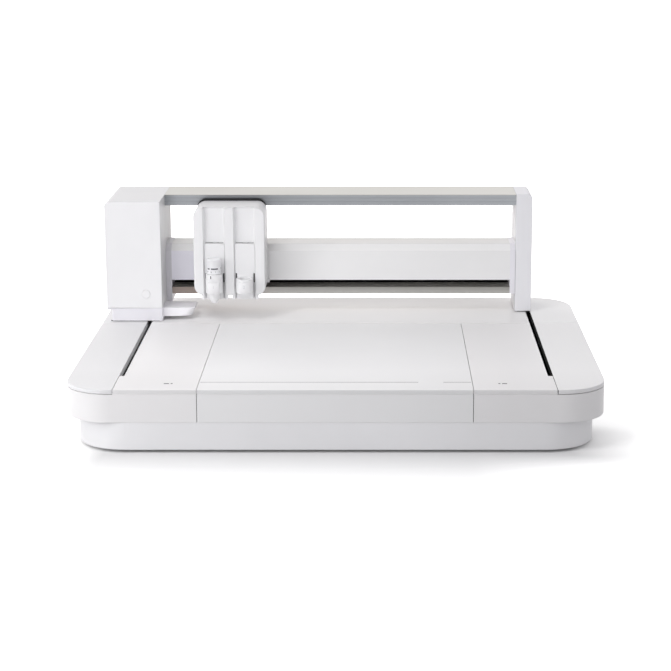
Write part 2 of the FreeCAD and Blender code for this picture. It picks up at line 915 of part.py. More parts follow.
def post_cover():
    wall = post_wall
    body = box(post_left, post_right, beam_front, tower_cover_rear, gantry_bottom, gantry_top)
    body = body.makeFillet(post_edge_radius, edges_through(body, along, Vector(post_right, 0, gantry_top)))
    body = body.makeFillet(small_edge_radius, edges_on(body, along, beam_front))
    inner_plan = (post_left + wall, post_right - wall, beam_front + wall, gantry_back)
    cavity = box(*inner_plan, gantry_bottom - cut_past, gantry_top - wall)
    inner_corner = Vector(post_right - wall, 0, gantry_top - wall)
    cavity = cavity.makeFillet(post_edge_radius - wall, edges_through(cavity, along, inner_corner))
    body = body.cut(cavity)
    boss_front = tower_cover_rear - post_boss_length
    half = post_bridge_height / 2
    for x, z in post_screw_points():
        bridge = box(post_left + wall / 2, x, boss_front, tower_cover_rear, z - half, z + half)
        boss = lengthwise(post_boss_radius, x, z, boss_front, tower_cover_rear)
        body = body.fuse(bridge).fuse(boss).cut(screw_hole(x, z, cover_pilot_length))
    for window in (top_tenon(tenon_clearance), rail_tenon(tenon_clearance)):
        body = body.cut(box(post_left - cut_past, post_left + wall + cut_past, *window))
    return body


def back_cover(left, right, bottom, corner, radius, points):
    """The plate that closes the back of the tower or the post, with countersunk screw holes."""
    plate = box(left, right, tower_cover_rear, gantry_back, bottom, gantry_top)
    plate = plate.makeFillet(radius, edges_through(plate, along, Vector(corner, 0, gantry_top)))
    plate = plate.makeFillet(small_edge_radius, edges_on(plate, along, gantry_back))
    for x, z in points:
        plate = plate.cut(lengthwise(cover_screw_radius, x, z, tower_cover_rear, gantry_back))
        plate = plate.cut(lengthwise(cover_head_radius, x, z, gantry_back - cover_head_recess, gantry_back))
    return plate


def gantry_back_covers():
    tower = (tower_left, tower_right, tower_cover_bottom, tower_left, tower_edge_radius)
    post = (post_left, post_right, gantry_bottom, post_right, post_edge_radius)
    return Part.makeCompound([
        back_cover(*tower, tower_screw_points()),
        back_cover(*post, post_screw_points()),
    ])


def gantry_screws():
    seat = gantry_back - cover_head_recess
    solids = []
    for x, z in tower_screw_points() + post_screw_points():
        head = lengthwise(cover_head_radius, x, z, seat, seat + cover_head_height)
        shank = lengthwise(cover_screw_radius, x, z, tower_cover_rear - cover_screw_length, seat)
        solids.append(head.fuse(shank))
    return Part.makeCompound(solids)


def tower_skirt():
    left = tower_left + skirt_inset
    top = tower_cover_bottom
    wall = cover_wall
    inset = skirt_flange_inset
    body = rounded_box(left, tower_right, tower_front, gantry_back, gantry_bottom, top, skirt_corner_radius)
    flange_plan = (tower_left + inset, tower_right, tower_front + inset, gantry_back - inset)
    body = body.fuse(box(*flange_plan, top - skirt_flange_thickness, top))
    groove_depths = (tower_front - cut_past, tower_front + skirt_groove_depth)
    groove_sides = (tower_left, tower_right + cut_past)
    body = body.cut(box(*groove_sides, *groove_depths, top - skirt_groove_height, top))
    inner_plan = (left + wall, tower_right - wall, tower_front + wall, gantry_back - wall)
    return body.cut(box(*inner_plan, gantry_bottom, top))


def setting_pad():
    bottom = deck + pad_lift
    top = bottom + pad_height
    right = tower_right + pad_length
    pad_front = tower_front + pad_setback
    pad_rear = pad_front + pad_depth
    body = box(tower_right, right, pad_front, pad_rear, bottom, top)
    body = body.makeFillet(pad_corner_radius, edges_through(body, up, Vector(right, pad_front, 0)))
    body = body.makeFillet(pad_rear_radius, edges_through(body, up, Vector(right, pad_rear, 0)))
    rim = [edge for edge in edges_on(body, up, top) if edge.CenterOfMass.x > tower_right + panel_gap]
    body = body.makeFillet(pad_edge_radius, rim)
    slope_top = top - pad_edge_radius
    corners = [(right - pad_end_slope, bottom), (right, bottom), (right, slope_top)]
    wire = Part.makePolygon([Vector(x, pad_front, z) for x, z in corners + corners[:1]])
    return body.cut(Part.Face(wire).extrude(Vector(0, pad_depth, 0)))


def button_board():
    board_front = button_wall + button_board_setback
    sides = (button_x - button_board_half_width, button_x + button_board_half_width)
    heights = (button_z - button_board_half_height, button_z + button_board_half_height)
    board = box(*sides, board_front, board_front + board_thickness, *heights)
    for x in (button_x - button_pillar_offset, button_x + button_pillar_offset):
        board = board.fuse(lengthwise(button_pillar_radius, x, button_z, button_wall, board_front))
    switch_front = button_wall + button_depth + switch_gap + button_travel
    switch_sides = (button_x - switch_half, button_x + switch_half)
    switch_heights = (button_z - switch_half, button_z + switch_half)
    return board.fuse(box(*switch_sides, switch_front, board_front, *switch_heights))


def power_button():
    face = tower_front - button_proud
    cap = lengthwise(button_radius, button_x, button_z, face, button_wall + button_depth)
    cap = cap.makeFillet(button_edge_radius, edges_on(cap, along, face))
    flange_front = button_wall + button_flange_gap
    flange_radius_out = button_radius + button_flange
    flange = lengthwise(flange_radius_out, button_x, button_z, flange_front, flange_front + button_flange)
    return cap.fuse(flange)


def tenons(left_end, right_end, section):
    """The bars that carry a beam's two ends through the walls to the frames."""
    left = box(-tenon_end, left_end, *section)
    return left.fuse(box(right_end, tenon_end, *section))


def top_beam():
    body = box(tower_right, post_left, beam_front, gantry_back, beam_bottom, gantry_top)
    body = body.makeFillet(beam_edge_radius, parallel_edges(body, across))
    half = groove_height / 2
    for share in (1, 2):
        middle = gantry_top - top_beam_height * share / 3
        depths = (beam_front, beam_front + groove_depth)
        body = body.cut(box(tower_right, post_left, *depths, middle - half, middle + half))
    rib = bracket_front + bracket_length / 2
    front_chamber = (beam_front + beam_wall + groove_depth, rib - beam_rib / 2)
    rear_chamber = (rib + beam_rib / 2, gantry_back - beam_wall)
    heights = (beam_bottom + beam_wall, gantry_top - beam_wall)
    for chamber in (front_chamber, rear_chamber):
        body = body.cut(box(tower_right, post_left, *chamber, *heights))
    return body.fuse(tenons(tower_right + tenon_length, post_left - tenon_length, top_tenon(0.0)))


def lower_beam_cover():
    wall = cover_wall
    chamfer = lower_cover_chamfer
    inner = chamfer - wall * math.tan(math.pi / 8)
    points = [
        (beam_front, lower_cover_bottom),
        (beam_front, lower_cover_top - chamfer),
        (beam_front + chamfer, lower_cover_top),
        (lower_cover_rear, lower_cover_top),
        (lower_cover_rear, lower_cover_top - wall),
        (beam_front + wall + inner, lower_cover_top - wall),
        (beam_front + wall, lower_cover_top - wall - inner),
        (beam_front + wall, lower_cover_bottom),
    ]
    return beam(points, cap_left, cap_right)


def beam_back_plate():
    front_face = lower_cover_rear - back_plate_thickness
    return box(cap_left, cap_right, front_face, lower_cover_rear, rail_bottom, lower_cover_top - cover_wall)


def lower_rail():
    depths = (beam_front, lower_cover_rear - back_plate_thickness)
    body = box(cap_left, cap_right, *depths, rail_bottom, rail_top)
    body = body.makeFillet(beam_edge_radius, edges_on(body, along, beam_front))
    return body.fuse(tenons(cap_left, cap_right, rail_tenon(0.0)))


def beam_end_cap(left, right, low):
    """The plate that closes an end of the lower beam, a little proud of its cover."""
    high = lower_cover_top + end_cap_proud
    near = beam_front - end_cap_proud
    chamfer = lower_cover_chamfer
    points = [
        (near, low),
        (near, high - chamfer),
        (near + chamfer, high),
        (lower_cover_rear, high),
        (lower_cover_rear, low),
    ]
    return beam(points, left, right).cut(box(-side, side, *rail_tenon(tenon_clearance)))


def beam_end_caps():
    left = beam_end_cap(tower_right, cap_left, rail_bottom - left_cap_drop)
    left = left.cut(box(tower_right - cut_past, cap_left + cut_past, *belt_window()))
    return Part.makeCompound([left, beam_end_cap(cap_right, post_left, rail_bottom)])


def x_motor():
    half = x_motor_size / 2
    sides = (x_motor_x - half, x_motor_x + half)
    depths = (x_belt_y - half, x_belt_y + half)
    top = motor_flange_top + x_motor_height
    body = rounded_box(*sides, *depths, motor_flange_top, top, x_motor_edge_radius)
    bore_top = motor_flange_top + x_shaft_length + motor_bore_gap
    return body.cut(upright(pin_radius + running_clearance, x_motor_x, x_belt_y, motor_flange_top, bore_top))


def x_wheel(x, bore):
    """A wheel for the carriage's belt."""
    edge = belt_side_gap + flange_thickness
    start = Vector(x, x_belt_y, x_belt_bottom - edge)
    return wheel(start, up * (x_belt_width + 2 * edge), x_pulley_radius, x_flange, bore)


def x_motor_pulley():
    low = x_belt_bottom - belt_side_gap - flange_thickness
    shaft = upright(pin_radius, x_motor_x, x_belt_y, low, motor_flange_top + x_shaft_length)
    return x_wheel(x_motor_x, pin_radius).fuse(shaft)


def x_idler_axle():
    half = idler_block_half
    top = lower_cover_top - cover_wall
    pin_bottom = x_belt_bottom - 2 * flange_thickness - belt_side_gap
    pin = upright(pin_radius, x_idler_x, x_belt_y, pin_bottom, top)
    plan = (x_idler_x - half, x_idler_x + half, x_belt_y - half, x_belt_y + half)
    return pin.fuse(box(*plan, motor_flange_bottom, top))


def x_belt():
    start = Vector(x_motor_x, x_belt_y, x_belt_bottom)
    end = Vector(x_idler_x, x_belt_y, x_belt_bottom)
    return belt_loop(start, end, x_belt_inner, x_belt_outer, up * x_belt_width)


def carriage_cover():
    wall = carriage_wall
    sides = (carriage_left, carriage_right)
    heights = (carriage_bottom, carriage_top)
    body = rounded_box(*sides, carriage_front, carriage_back, *heights, carriage_corner_radius, along)
    body = body.makeFillet(carriage_edge_radius, edges_on(body, along, carriage_front))
    half = chin_width / 2
    for x in tool_x:
        chin_depths = (carriage_front + chin_setback, channel_back)
        body = body.fuse(box(x - half, x + half, *chin_depths, chin_bottom, carriage_bottom + wall))
    inner_sides = (carriage_left + wall, carriage_right - wall)
    inner_heights = (carriage_bottom + wall, carriage_top - wall)
    inner_radius = carriage_corner_radius - wall
    inner_depths = (channel_back, carriage_back + cut_past)
    body = body.cut(rounded_box(*inner_sides, *inner_depths, *inner_heights, inner_radius, along))
    for x in tool_x:
        body = body.cut(channel_cutter(x))
    stud_bottom = carriage_bottom + stud_lift
    stud_sides = (carriage_right - wall, carriage_right + stud_length)
    stud_depths = (carriage_back - stud_depth, carriage_back)
    return body.fuse(box(*stud_sides, *stud_depths, stud_bottom, stud_bottom + stud_height))


def channel_cutter(x):
    """What is cut out of the carriage's front for one tool holder to slide in."""
    floor = carriage_front + channel_depth
    inside = channel_back + cut_past
    cutter = channel(x, 0.0, channel_depth, chin_bottom - cut_past, carriage_top + cut_past, 0.0)
    arm = arm_width / 2 + arm_gap
    arm_bottom = nut_bottom - lift_travel - cut_past
    cutter = cutter.fuse(box(x - arm, x + arm, carriage_front, inside, arm_bottom, nut_top + cut_past))
    half = channel_floor_width / 2
    gap_heights = (slide_top, slide_top + slide_gap_height)
    cutter = cutter.fuse(box(x - half, x + half, floor - cut_past, inside, *gap_heights))
    for edge in (x - half, x + half):
        sides = (edge - slit_width / 2, edge + slit_width / 2)
        cutter = cutter.fuse(box(*sides, carriage_front, inside, slit_bottom, slit_top))
    return cutter


def channel(x, start, end, z0, z1, clearance):
    """A bar with the channel's slanting sides, between two depths behind the carriage's face."""
    slant = (channel_width - channel_floor_width) / 2 / channel_depth
    points = []
    for depth, hand in ((start, -1), (start, 1), (end, 1), (end, -1)):
        half = channel_width / 2 - slant * depth - clearance
        points.append(Vector(x + hand * half, carriage_front + depth, z0))
    return Part.Face(Part.makePolygon(points + points[:1])).extrude(up * (z1 - z0))


def carriage_plate():
    inset = carriage_wall + lip_clearance
    sides = (carriage_left + inset, carriage_right - inset)
    depths = (carriage_back - carriage_plate_thickness, carriage_back)
    heights = (carriage_bottom + inset, carriage_top - inset)
    plate = rounded_box(*sides, *depths, *heights, carriage_corner_radius - inset, along)
    inset = plate_flange_inset
    sides = (carriage_left + inset, carriage_right - inset)
    heights = (carriage_bottom + inset, carriage_top + plate_flange_rise)
    radius = carriage_corner_radius - inset
    return plate.fuse(rounded_box(*sides, carriage_back, plate_back, *heights, radius, along))


def roller_points():
    """Each roller's place across and up, and its radius."""
    return {
        "upper_roller": (carriage_x, upper_roller_z, upper_roller_radius),
        "lower_roller_left": (carriage_x - roller_spacing, lower_roller_z, lower_roller_radius),
        "lower_roller_right": (carriage_x + roller_spacing, lower_roller_z, lower_roller_radius),
    }


def roller_axles():
    rear_end = roller_y + roller_width + axle_end
    solids = []
    for x, z, radius in roller_points().values():
        solids.append(lengthwise(axle_radius, x, z, plate_back, rear_end))
    return Part.makeCompound(solids)


def roller(x, z, radius):
    depths = (roller_y, roller_y + roller_width)
    bore = lengthwise(axle_radius + running_clearance, x, z, *depths)
    return lengthwise(radius, x, z, *depths).cut(bore)


def belt_clamp():
    sides = (carriage_x - belt_clamp_half, carriage_x + belt_clamp_half)
    low = rail_top + belt_clamp_gap
    high = lower_cover_bottom - belt_clamp_gap
    run_front = x_belt_y - x_belt_outer - moving_clearance
    run_rear = x_belt_y - x_belt_inner + moving_clearance
    body = box(*sides, plate_back, run_rear + jaw_thickness, low, high)
    for depth in (run_front - jaw_thickness, run_rear):
        body = body.fuse(box(*sides, depth, depth + jaw_thickness, low, x_belt_top + flange_thickness))
    return body


def lift_motors():
    half = lift_motor_size / 2
    depths = (channel_back, channel_back + lift_motor_size)
    bore_top = lift_motor_bottom + lift_shaft_length + lift_shaft_gap
    solids = []
    for x in tool_x:
        heights = (lift_motor_bottom, lift_motor_top)
        body = rounded_box(x - half, x + half, *depths, *heights, lift_motor_edge_radius)
        bore = upright(lift_screw_radius + running_clearance, x, screw_y, lift_motor_bottom, bore_top)
        solids.append(body.cut(bore))
    return Part.makeCompound(solids)


def lift_guides():
    low = carriage_bottom + carriage_wall
    spots = [x + guide_offset for x in tool_x]
    return Part.makeCompound([upright(guide_radius, x, screw_y, low, lift_motor_bottom) for x in spots])


def lift_screw(x):
    low = carriage_bottom + carriage_wall + lift_screw_gap
    return upright(lift_screw_radius, x, screw_y, low, lift_motor_bottom + lift_shaft_length)


def tool_slide(x):
    """The plate that slides in the channel, narrower between the two slits."""
    back = slide_recess + slide_thickness
    plate = channel(x, slide_recess, back, slit_top, slide_top, slide_clearance)
    half = (channel_floor_width - slit_width) / 2 - slide_clearance
    depths = (carriage_front + slide_recess, carriage_front + back)
    return plate.fuse(box(x - half, x + half, *depths, chin_bottom, slit_top))


def lift_nut(x):
    """The block that rides on the lift screw and the guide rod."""
    guide_x = x + guide_offset
    depths = (channel_back + nut_gap, screw_y + nut_depth)
    nut = box(x - nut_side, guide_x + nut_far_side, *depths, nut_bottom, nut_top)
    nut = nut.cut(upright(lift_screw_radius + turning_clearance, x, screw_y, nut_bottom, nut_top))
    return nut.cut(upright(guide_radius + turning_clearance, guide_x, screw_y, nut_bottom, nut_top))


def tool_ring(x):
    """The ring that a tool's barrel drops into, with the window for the lock's stem."""
    half = bridge_width / 2
    ring = upright(ring_radius, x, tool_y, ring_bottom, ring_top)
    ring = ring.fuse(box(x - half, x + half, tool_y, carriage_front + slide_recess, ring_bottom, ring_top))
    ring = ring.cut(upright(socket_radius, x, tool_y, ring_bottom, ring_top))
    stem = lock_stem_width / 2 + lock_clearance
    depths = (tool_y - ring_radius - cut_past, tool_y)
    return ring.cut(box(x - stem, x + stem, *depths, ring_middle - stem, ring_middle + stem))


def tool_holder(x):
    half = arm_width / 2
    arm_depths = (carriage_front + slide_recess + slide_thickness, channel_back + nut_gap + cut_past)
    arm = box(x - half, x + half, *arm_depths, nut_bottom, nut_top)
    return tool_slide(x).fuse(arm.cut(lift_nut(x))).fuse(lift_nut(x)).fuse(tool_ring(x))


def tool_lock(x):
    near = ring_radius + lock_clearance
    heights = (ring_middle - lock_height / 2, ring_middle + lock_height / 2)
    tab = upright(near + lock_thickness, x, tool_y, *heights).cut(upright(near, x, tool_y, *heights))
    keep_depths = (tool_y - near - 2 * lock_thickness, tool_y - lock_wrap)
    tab = tab.common(box(x - lock_half_width, x + lock_half_width, *keep_depths, *heights))
    half = lock_stem_width / 2
    stem_depths = (tool_y - near - lock_thickness / 2, tool_y - socket_radius - lock_clearance)
    return tab.fuse(box(x - half, x + half, *stem_depths, ring_middle - half, ring_middle + half))


def blade_holder():
    x = tool_x[0]
    neck_top = dial_bottom + dial_height / 2
    points = [
        (0.0, nose_tip),
        (nose_tip_radius, nose_tip),
        (nose_shoulder_radius, nose_tip + nose_length * nose_shoulder),
        (nose_radius, nose_tip + nose_length * nose_taper),
        (barrel_radius - barrel_edge, barrel_bottom),
        (barrel_radius, barrel_bottom + barrel_edge),
        (barrel_radius, flange_bottom),
        (flange_radius, flange_bottom),
        (flange_radius, flange_top),
        (neck_radius, flange_top),
        (neck_radius, neck_top),
        (0.0, neck_top),
    ]
    return turned(points, x, tool_y).cut(upright(blade_radius, x, tool_y, nose_tip, ring_top))


def cutting_blade():
    tip = nose_tip - blade_exposure
    points = [(0.0, tip), (blade_radius, tip + blade_point), (blade_radius, ring_top), (0.0, ring_top)]
    return turned(points, tool_x[0], tool_y)


def depth_dial():
    inner = neck_radius + turning_clearance
    ceiling = dial_bottom + dial_height / 2 + moving_clearance
    points = [
        (inner, dial_bottom),
        (dial_band_radius, dial_bottom),
        (dial_band_radius, dial_bottom + dial_band_height),
        (dial_radius, dial_bottom + dial_band_height),
        (dial_radius, dial_top - dial_edge),
        (dial_radius - dial_edge, dial_top),
        (0.0, dial_top),
        (0.0, ceiling),
        (inner, ceiling),
    ]
    return turned(points, tool_x[0], tool_y)


def build():
    """Every node of the machine by name."""
    envelope = base_envelope()
    nodes = {
        "bottom_tray": bottom_tray(),
        "upper_casing": upper_casing(envelope),
        "bed_panel": bed_panel(envelope),
        "left_side_deck": side_deck(envelope, -1),
        "right_side_deck": side_deck(envelope, 1),
        "slot_seals": slot_seals(),
        "chassis_plate": chassis_plate(),
        "tray_screws": tray_screws(),
        "feet": feet(),
        "y_rails": y_rails(),
        "rail_blocks": rail_blocks(),
        "y_belts": y_belts(),
        "y_drive_shaft": y_drive_shaft(),
        "y_drive_pulleys": y_drive_pulleys(),
        "y_idler_left": y_wheel(-1, idler_y, pin_radius + running_clearance),
        "y_idler_right": y_wheel(1, idler_y, pin_radius + running_clearance),
        "shaft_supports": shaft_supports(),
        "y_motor": y_motor(),
        "main_board": main_board(),
        "dc_jack": dc_jack(),
        "usb_port": usb_port(),
        "y_sliders": y_sliders(),
        "gantry_frames": gantry_frames(),
        "tower_cover": tower_cover(),
        "tower_skirt": tower_skirt(),
        "post_cover": post_cover(),
        "gantry_back_covers": gantry_back_covers(),
        "gantry_screws": gantry_screws(),
        "setting_pad": setting_pad(),
        "button_board": button_board(),
        "power_button": power_button(),
        "top_beam": top_beam(),
        "lower_beam_cover": lower_beam_cover(),
        "beam_back_plate": beam_back_plate(),
        "lower_rail": lower_rail(),
        "beam_end_caps": beam_end_caps(),
        "x_motor": x_motor(),
        "x_motor_pulley": x_motor_pulley(),
        "x_idler_axle": x_idler_axle(),
        "x_idler_pulley": x_wheel(x_idler_x, pin_radius + running_clearance),
        "x_belt": x_belt(),
        "carriage_cover": carriage_cover(),
        "carriage_plate": carriage_plate(),
        "roller_axles": roller_axles(),
        "belt_clamp": belt_clamp(),
        "lift_motors": lift_motors(),
        "lift_guides": lift_guides(),
        "blade_holder": blade_holder(),
        "cutting_blade": cutting_blade(),
        "depth_dial": depth_dial(),
    }
    for name, place in roller_points().items():
        nodes[name] = roller(*place)
    for number, x in enumerate(tool_x, 1):
        nodes[f"lift_screw_{number}"] = lift_screw(x)
        nodes[f"tool_holder_{number}"] = tool_holder(x)
        nodes[f"tool_lock_{number}"] = tool_lock(x)
    return nodes


if __name__ == "__main__":
    os.makedirs("parts", exist_ok=True)
    for name, shape in build().items():
        shape.removeSplitter().exportStep(f"parts/{name}.step")
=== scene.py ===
import json
import math

import bmesh
import bpy
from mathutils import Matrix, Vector


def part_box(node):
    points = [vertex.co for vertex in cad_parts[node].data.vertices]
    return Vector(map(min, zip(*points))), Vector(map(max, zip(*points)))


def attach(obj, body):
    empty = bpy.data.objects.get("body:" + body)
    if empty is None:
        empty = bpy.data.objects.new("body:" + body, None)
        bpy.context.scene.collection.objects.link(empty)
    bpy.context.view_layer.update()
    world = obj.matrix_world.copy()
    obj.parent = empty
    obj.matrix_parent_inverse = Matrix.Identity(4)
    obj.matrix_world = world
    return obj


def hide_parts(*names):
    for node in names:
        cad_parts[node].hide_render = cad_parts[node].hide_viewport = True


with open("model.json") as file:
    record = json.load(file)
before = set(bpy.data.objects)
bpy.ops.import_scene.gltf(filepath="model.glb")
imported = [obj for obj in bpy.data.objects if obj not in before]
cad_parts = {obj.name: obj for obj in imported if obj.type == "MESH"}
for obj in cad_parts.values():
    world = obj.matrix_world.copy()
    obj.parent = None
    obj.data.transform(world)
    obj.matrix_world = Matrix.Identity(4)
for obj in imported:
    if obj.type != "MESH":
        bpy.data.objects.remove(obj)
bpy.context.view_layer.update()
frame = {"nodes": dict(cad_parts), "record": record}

nodes = frame["nodes"]


# Shader sockets and node trees


class Socket:
    """One output of a shader node, used in plain arithmetic."""

    def __init__(self, tree, output):
        self.tree = tree
        self.output = output

    def math(self, operation, first, second):
        return self.tree.add("Math", {"operation": operation}, {0: first, 1: second})

    def __add__(self, other):
        return self.math("ADD", self, other)

    __radd__ = __add__

    def __sub__(self, other):
        return self.math("SUBTRACT", self, other)

    def __rsub__(self, other):
        return self.math("SUBTRACT", other, self)

    def __mul__(self, other):
        return self.math("MULTIPLY", self, other)

    __rmul__ = __mul__

    def __gt__(self, other):
        return self.math("GREATER_THAN", self, other)

    def __lt__(self, other):
        return self.math("LESS_THAN", self, other)

    def most(self, other):
        return self.math("MAXIMUM", self, other)

    def size(self):
        return self.math("ABSOLUTE", self, 0.0)

    def root(self):
        return self.math("SQRT", self, 0.0)

    def spread(self, low, high):
        """The share of the way from low to high, held between 0 and 1."""
        return self.tree.add("MapRange", {"clamp": True}, {0: self, 1: low, 2: high})


class Tree:
    """A node tree that is built from one method."""

    def __init__(self, tree):
        self.tree = tree

    def add(self, kind, settings=None, sockets=None, output=0):
        node = self.tree.nodes.new("ShaderNode" + kind)
        for setting, value in (settings or {}).items():
            setattr(node, setting, value)
        for socket, value in (sockets or {}).items():
            self.feed(node.inputs[socket], value)
        return Socket(self, node.outputs[output])

    def feed(self, socket, value):
        if isinstance(value, Socket):
            self.tree.links.new(value.output, socket)
        else:
            socket.default_value = value

    def mix(self, share, first, second):
        """A blend of two colours."""
        return self.add("Mix", {"data_type": "RGBA"}, {0: share, 6: first, 7: second}, 2)

    def seen(self):
        """1 for rays that see the background: straight, mirrored or through something clear."""
        straight = self.add("LightPath", output="Is Camera Ray")
        mirrored = self.add("LightPath", output="Is Glossy Ray")
        through = self.add("LightPath", output="Is Transmission Ray")
        return straight.most(mirrored).most(through)


class Finish(Tree):
    """A procedural finish for a piece."""

    def __init__(self, name):
        self.material = bpy.data.materials.new(name)
        self.material.use_nodes = True
        super().__init__(self.material.node_tree)
        self.shader = self.tree.nodes["Principled BSDF"]
        self.place = self.add("TexCoord", output="Object")
        self.axes = None

    def axis(self, letter):
        """One coordinate of the place on the piece, in metres."""
        if self.axes is None:
            self.axes = self.add("SeparateXYZ", None, {0: self.place}).output.node
        return Socket(self, self.axes.outputs[letter])

    def noise(self, scale, detail=2.0, stretch=(1, 1, 1)):
        """Even noise of so many grains to the metre, drawn out along an axis by a small stretch."""
        place = self.add("Mapping", None, {"Vector": self.place, "Scale": stretch})
        return self.add("TexNoise", None, {"Vector": place, "Scale": scale, "Detail": detail})

    def clouds(self, scale, detail):
        """Soft patches, from 0 to 1."""
        return self.noise(scale, detail).spread(0.35, 0.65)

    def lines(self, stretch):
        """Fine lines drawn out along one axis, from 0 to 1."""
        return self.noise(1.0, 3, stretch).spread(0.3, 0.7)

    def bump(self, height, depth):
        return self.add("Bump", None, {"Height": height, "Strength": 1.0, "Distance": depth})

    def shade(self, sockets):
        for socket, value in sockets.items():
            self.feed(self.shader.inputs[socket], value)
        return self.material


def colour(red, green, blue):
    """A colour from the values that a screen shows, 0 to 255."""
    parts = []
    for value in (red, green, blue):
        share = value / 255
        parts.append(share / 12.92 if share <= 0.04045 else ((share + 0.055) / 1.055) ** 2.4)
    return (*parts, 1.0)


def grey(value):
    """A plain grey from the value that a screen shows, 0 to 255."""
    return colour(value, value, value)


def dulled(tone, share):
    """A tone with a share of its brightness."""
    return tuple(part * share for part in tone[:3]) + (1.0,)


# Finishes by material

# X span over which painted shade or painted light ramps in towards the right end.
right_shading_span = (0.06, 0.20)
beam_stretch = (5, 1400, 1400)


def white_skin(finish, tone):
    """A white moulding's colour with faint clouding."""
    return finish.mix(finish.clouds(11, 3), dulled(tone, 0.965), tone)


def moulded(finish, skin, grain=1500, gloss=0.38, shine=0.45):
    """Gives a skin the spark-eroded grain and the hand-rubbed patches of a moulding."""
    grain_depth = 0.00002
    rubbed = finish.noise(46, 4).spread(0.40, 0.70)
    return finish.shade({
        "Base Color": skin,
        "Roughness": gloss + 0.10 * rubbed,
        "Normal": finish.bump(finish.noise(grain, 2), grain_depth),
        "Specular IOR Level": shine,
    })


def moulded_white(name, tone, grain=1500, gloss=0.38, right_shading_share=1.0):
    """Satin white moulding; towards its right end a share of its brightness is painted in, as painted shade
    below one and painted light above one.
    """
    finish = Finish(name)
    right = finish.axis("X").spread(*right_shading_span)
    right_skin = white_skin(finish, dulled(tone, right_shading_share))
    skin = finish.mix(right, white_skin(finish, tone), right_skin)
    return moulded(finish, skin, grain, gloss)


def brushed_aluminium(name, tone, stretch):
    """Anodised aluminium with brush lines along its length."""
    finish = Finish(name)
    brush_depth = 0.00001
    lines = finish.lines(stretch)
    return finish.shade({
        "Base Color": finish.mix(lines, dulled(tone, 0.86), tone),
        "Metallic": 1.0,
        "Roughness": 0.30 + 0.10 * lines + 0.06 * finish.clouds(14, 2),
        "Normal": finish.bump(lines, brush_depth),
    })


def turned_steel(name, tone, stretch):
    """Ground steel with fine tool marks."""
    finish = Finish(name)
    mark_depth = 0.000008
    marks = finish.lines(stretch)
    stain = finish.noise(30, 3).spread(0.45, 0.75)
    return finish.shade({
        "Base Color": finish.mix(stain, tone, dulled(tone, 0.8)),
        "Metallic": 1.0,
        "Roughness": 0.22 + 0.12 * marks + 0.08 * stain,
        "Normal": finish.bump(marks, mark_depth),
    })


def black_moulding(name, tone, grain=1300, gloss=0.45):
    """Black plastic or coating with a fine grain and paler rubbed patches."""
    finish = Finish(name)
    grain_depth = 0.00004
    rubbed = finish.noise(70, 4).spread(0.5, 0.75)
    pale = tuple(part * 1.7 + 0.004 for part in tone[:3]) + (1.0,)
    return finish.shade({
        "Base Color": finish.mix(rubbed, tone, pale),
        "Roughness": gloss + 0.15 * rubbed,
        "Normal": finish.bump(finish.noise(grain, 2), grain_depth),
    })


def lacquered_green(finish):
    """A board's green with paler copper tracks, the lacquer's haze and the tracks' relief."""
    track_depth = 0.00004
    tracks = finish.add("TexBrick", {"offset": 0.37}, {
        "Vector": finish.place, "Scale": 160.0, "Mortar Size": 0.12}, "Fac")
    lacquer = finish.noise(90, 3).spread(0.3, 0.7)
    green = finish.mix(lacquer, colour(12, 62, 38), colour(18, 78, 48))
    green = finish.mix(tracks * 0.6, green, colour(52, 128, 78))
    return green, lacquer, finish.bump(tracks, track_depth)


def circuit_board(name):
    """Green board with paler copper tracks under the lacquer."""
    finish = Finish(name)
    green, lacquer, relief = lacquered_green(finish)
    return finish.shade({"Base Color": green, "Roughness": 0.3 + 0.15 * lacquer, "Normal": relief})


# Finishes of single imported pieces


def deck_white(name, tone):
    """Satin white deck with painted shade: duller towards its left, front and right ends, on its flanks and
    on most of its edge strip, whose left end gets painted light.
    """
    finish = Finish(name)
    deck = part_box("upper_casing")[1][2]
    edge_round = 0.0005
    strip_height = 0.0047
    grain_depth = 0.000003
    across = finish.axis("X")
    along = finish.axis("Y")
    height = finish.axis("Z")
    cloud = finish.clouds(7, 3)
    hair = finish.noise(60, 2, (1, 14, 1)).spread(0.62, 0.70)
    flank = height < deck - edge_round
    strip = flank * (height > deck - strip_height)
    matt = 1 - along.spread(0.080, 0.100)
    left = 1 - across.spread(-0.30, -0.10)
    left_corner = 1 - across.spread(-0.262, -0.236)
    right = across.spread(*right_shading_span)
    front = 1 - along.spread(-0.24, -0.15)
    skin = finish.mix(cloud, dulled(tone, 0.975), tone)
    # Painted shade: duller towards the left and front ends, and more at the front of the right end.
    skin = finish.mix(left * 0.7 + front * 0.9, skin, dulled(tone, 0.91))
    skin = finish.mix(right * 0.9, skin, finish.mix(front, dulled(tone, 0.93), dulled(tone, 0.87)))
    # Painted shade on the flanks, more at the right; the edge strip is painted darker, and its left end
    # gets painted light.
    skin = finish.mix(flank, skin, finish.mix(right, dulled(tone, 0.94), dulled(tone, 0.89)))
    skin = finish.mix(strip, skin, finish.mix(left_corner, dulled(tone, 0.86), dulled(tone, 1.05)))
    return finish, skin, {
        "Roughness": 0.14 + 0.20 * matt + 0.05 * cloud + 0.04 * hair,
        "Normal": finish.bump(finish.noise(2600, 1), grain_depth),
        "Specular IOR Level": 0.05,
    }


def on_top_of(finish, node):
    """1 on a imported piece's top face."""
    face_depth = 0.0002
    return finish.axis("Z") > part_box(node)[1][2] - face_depth


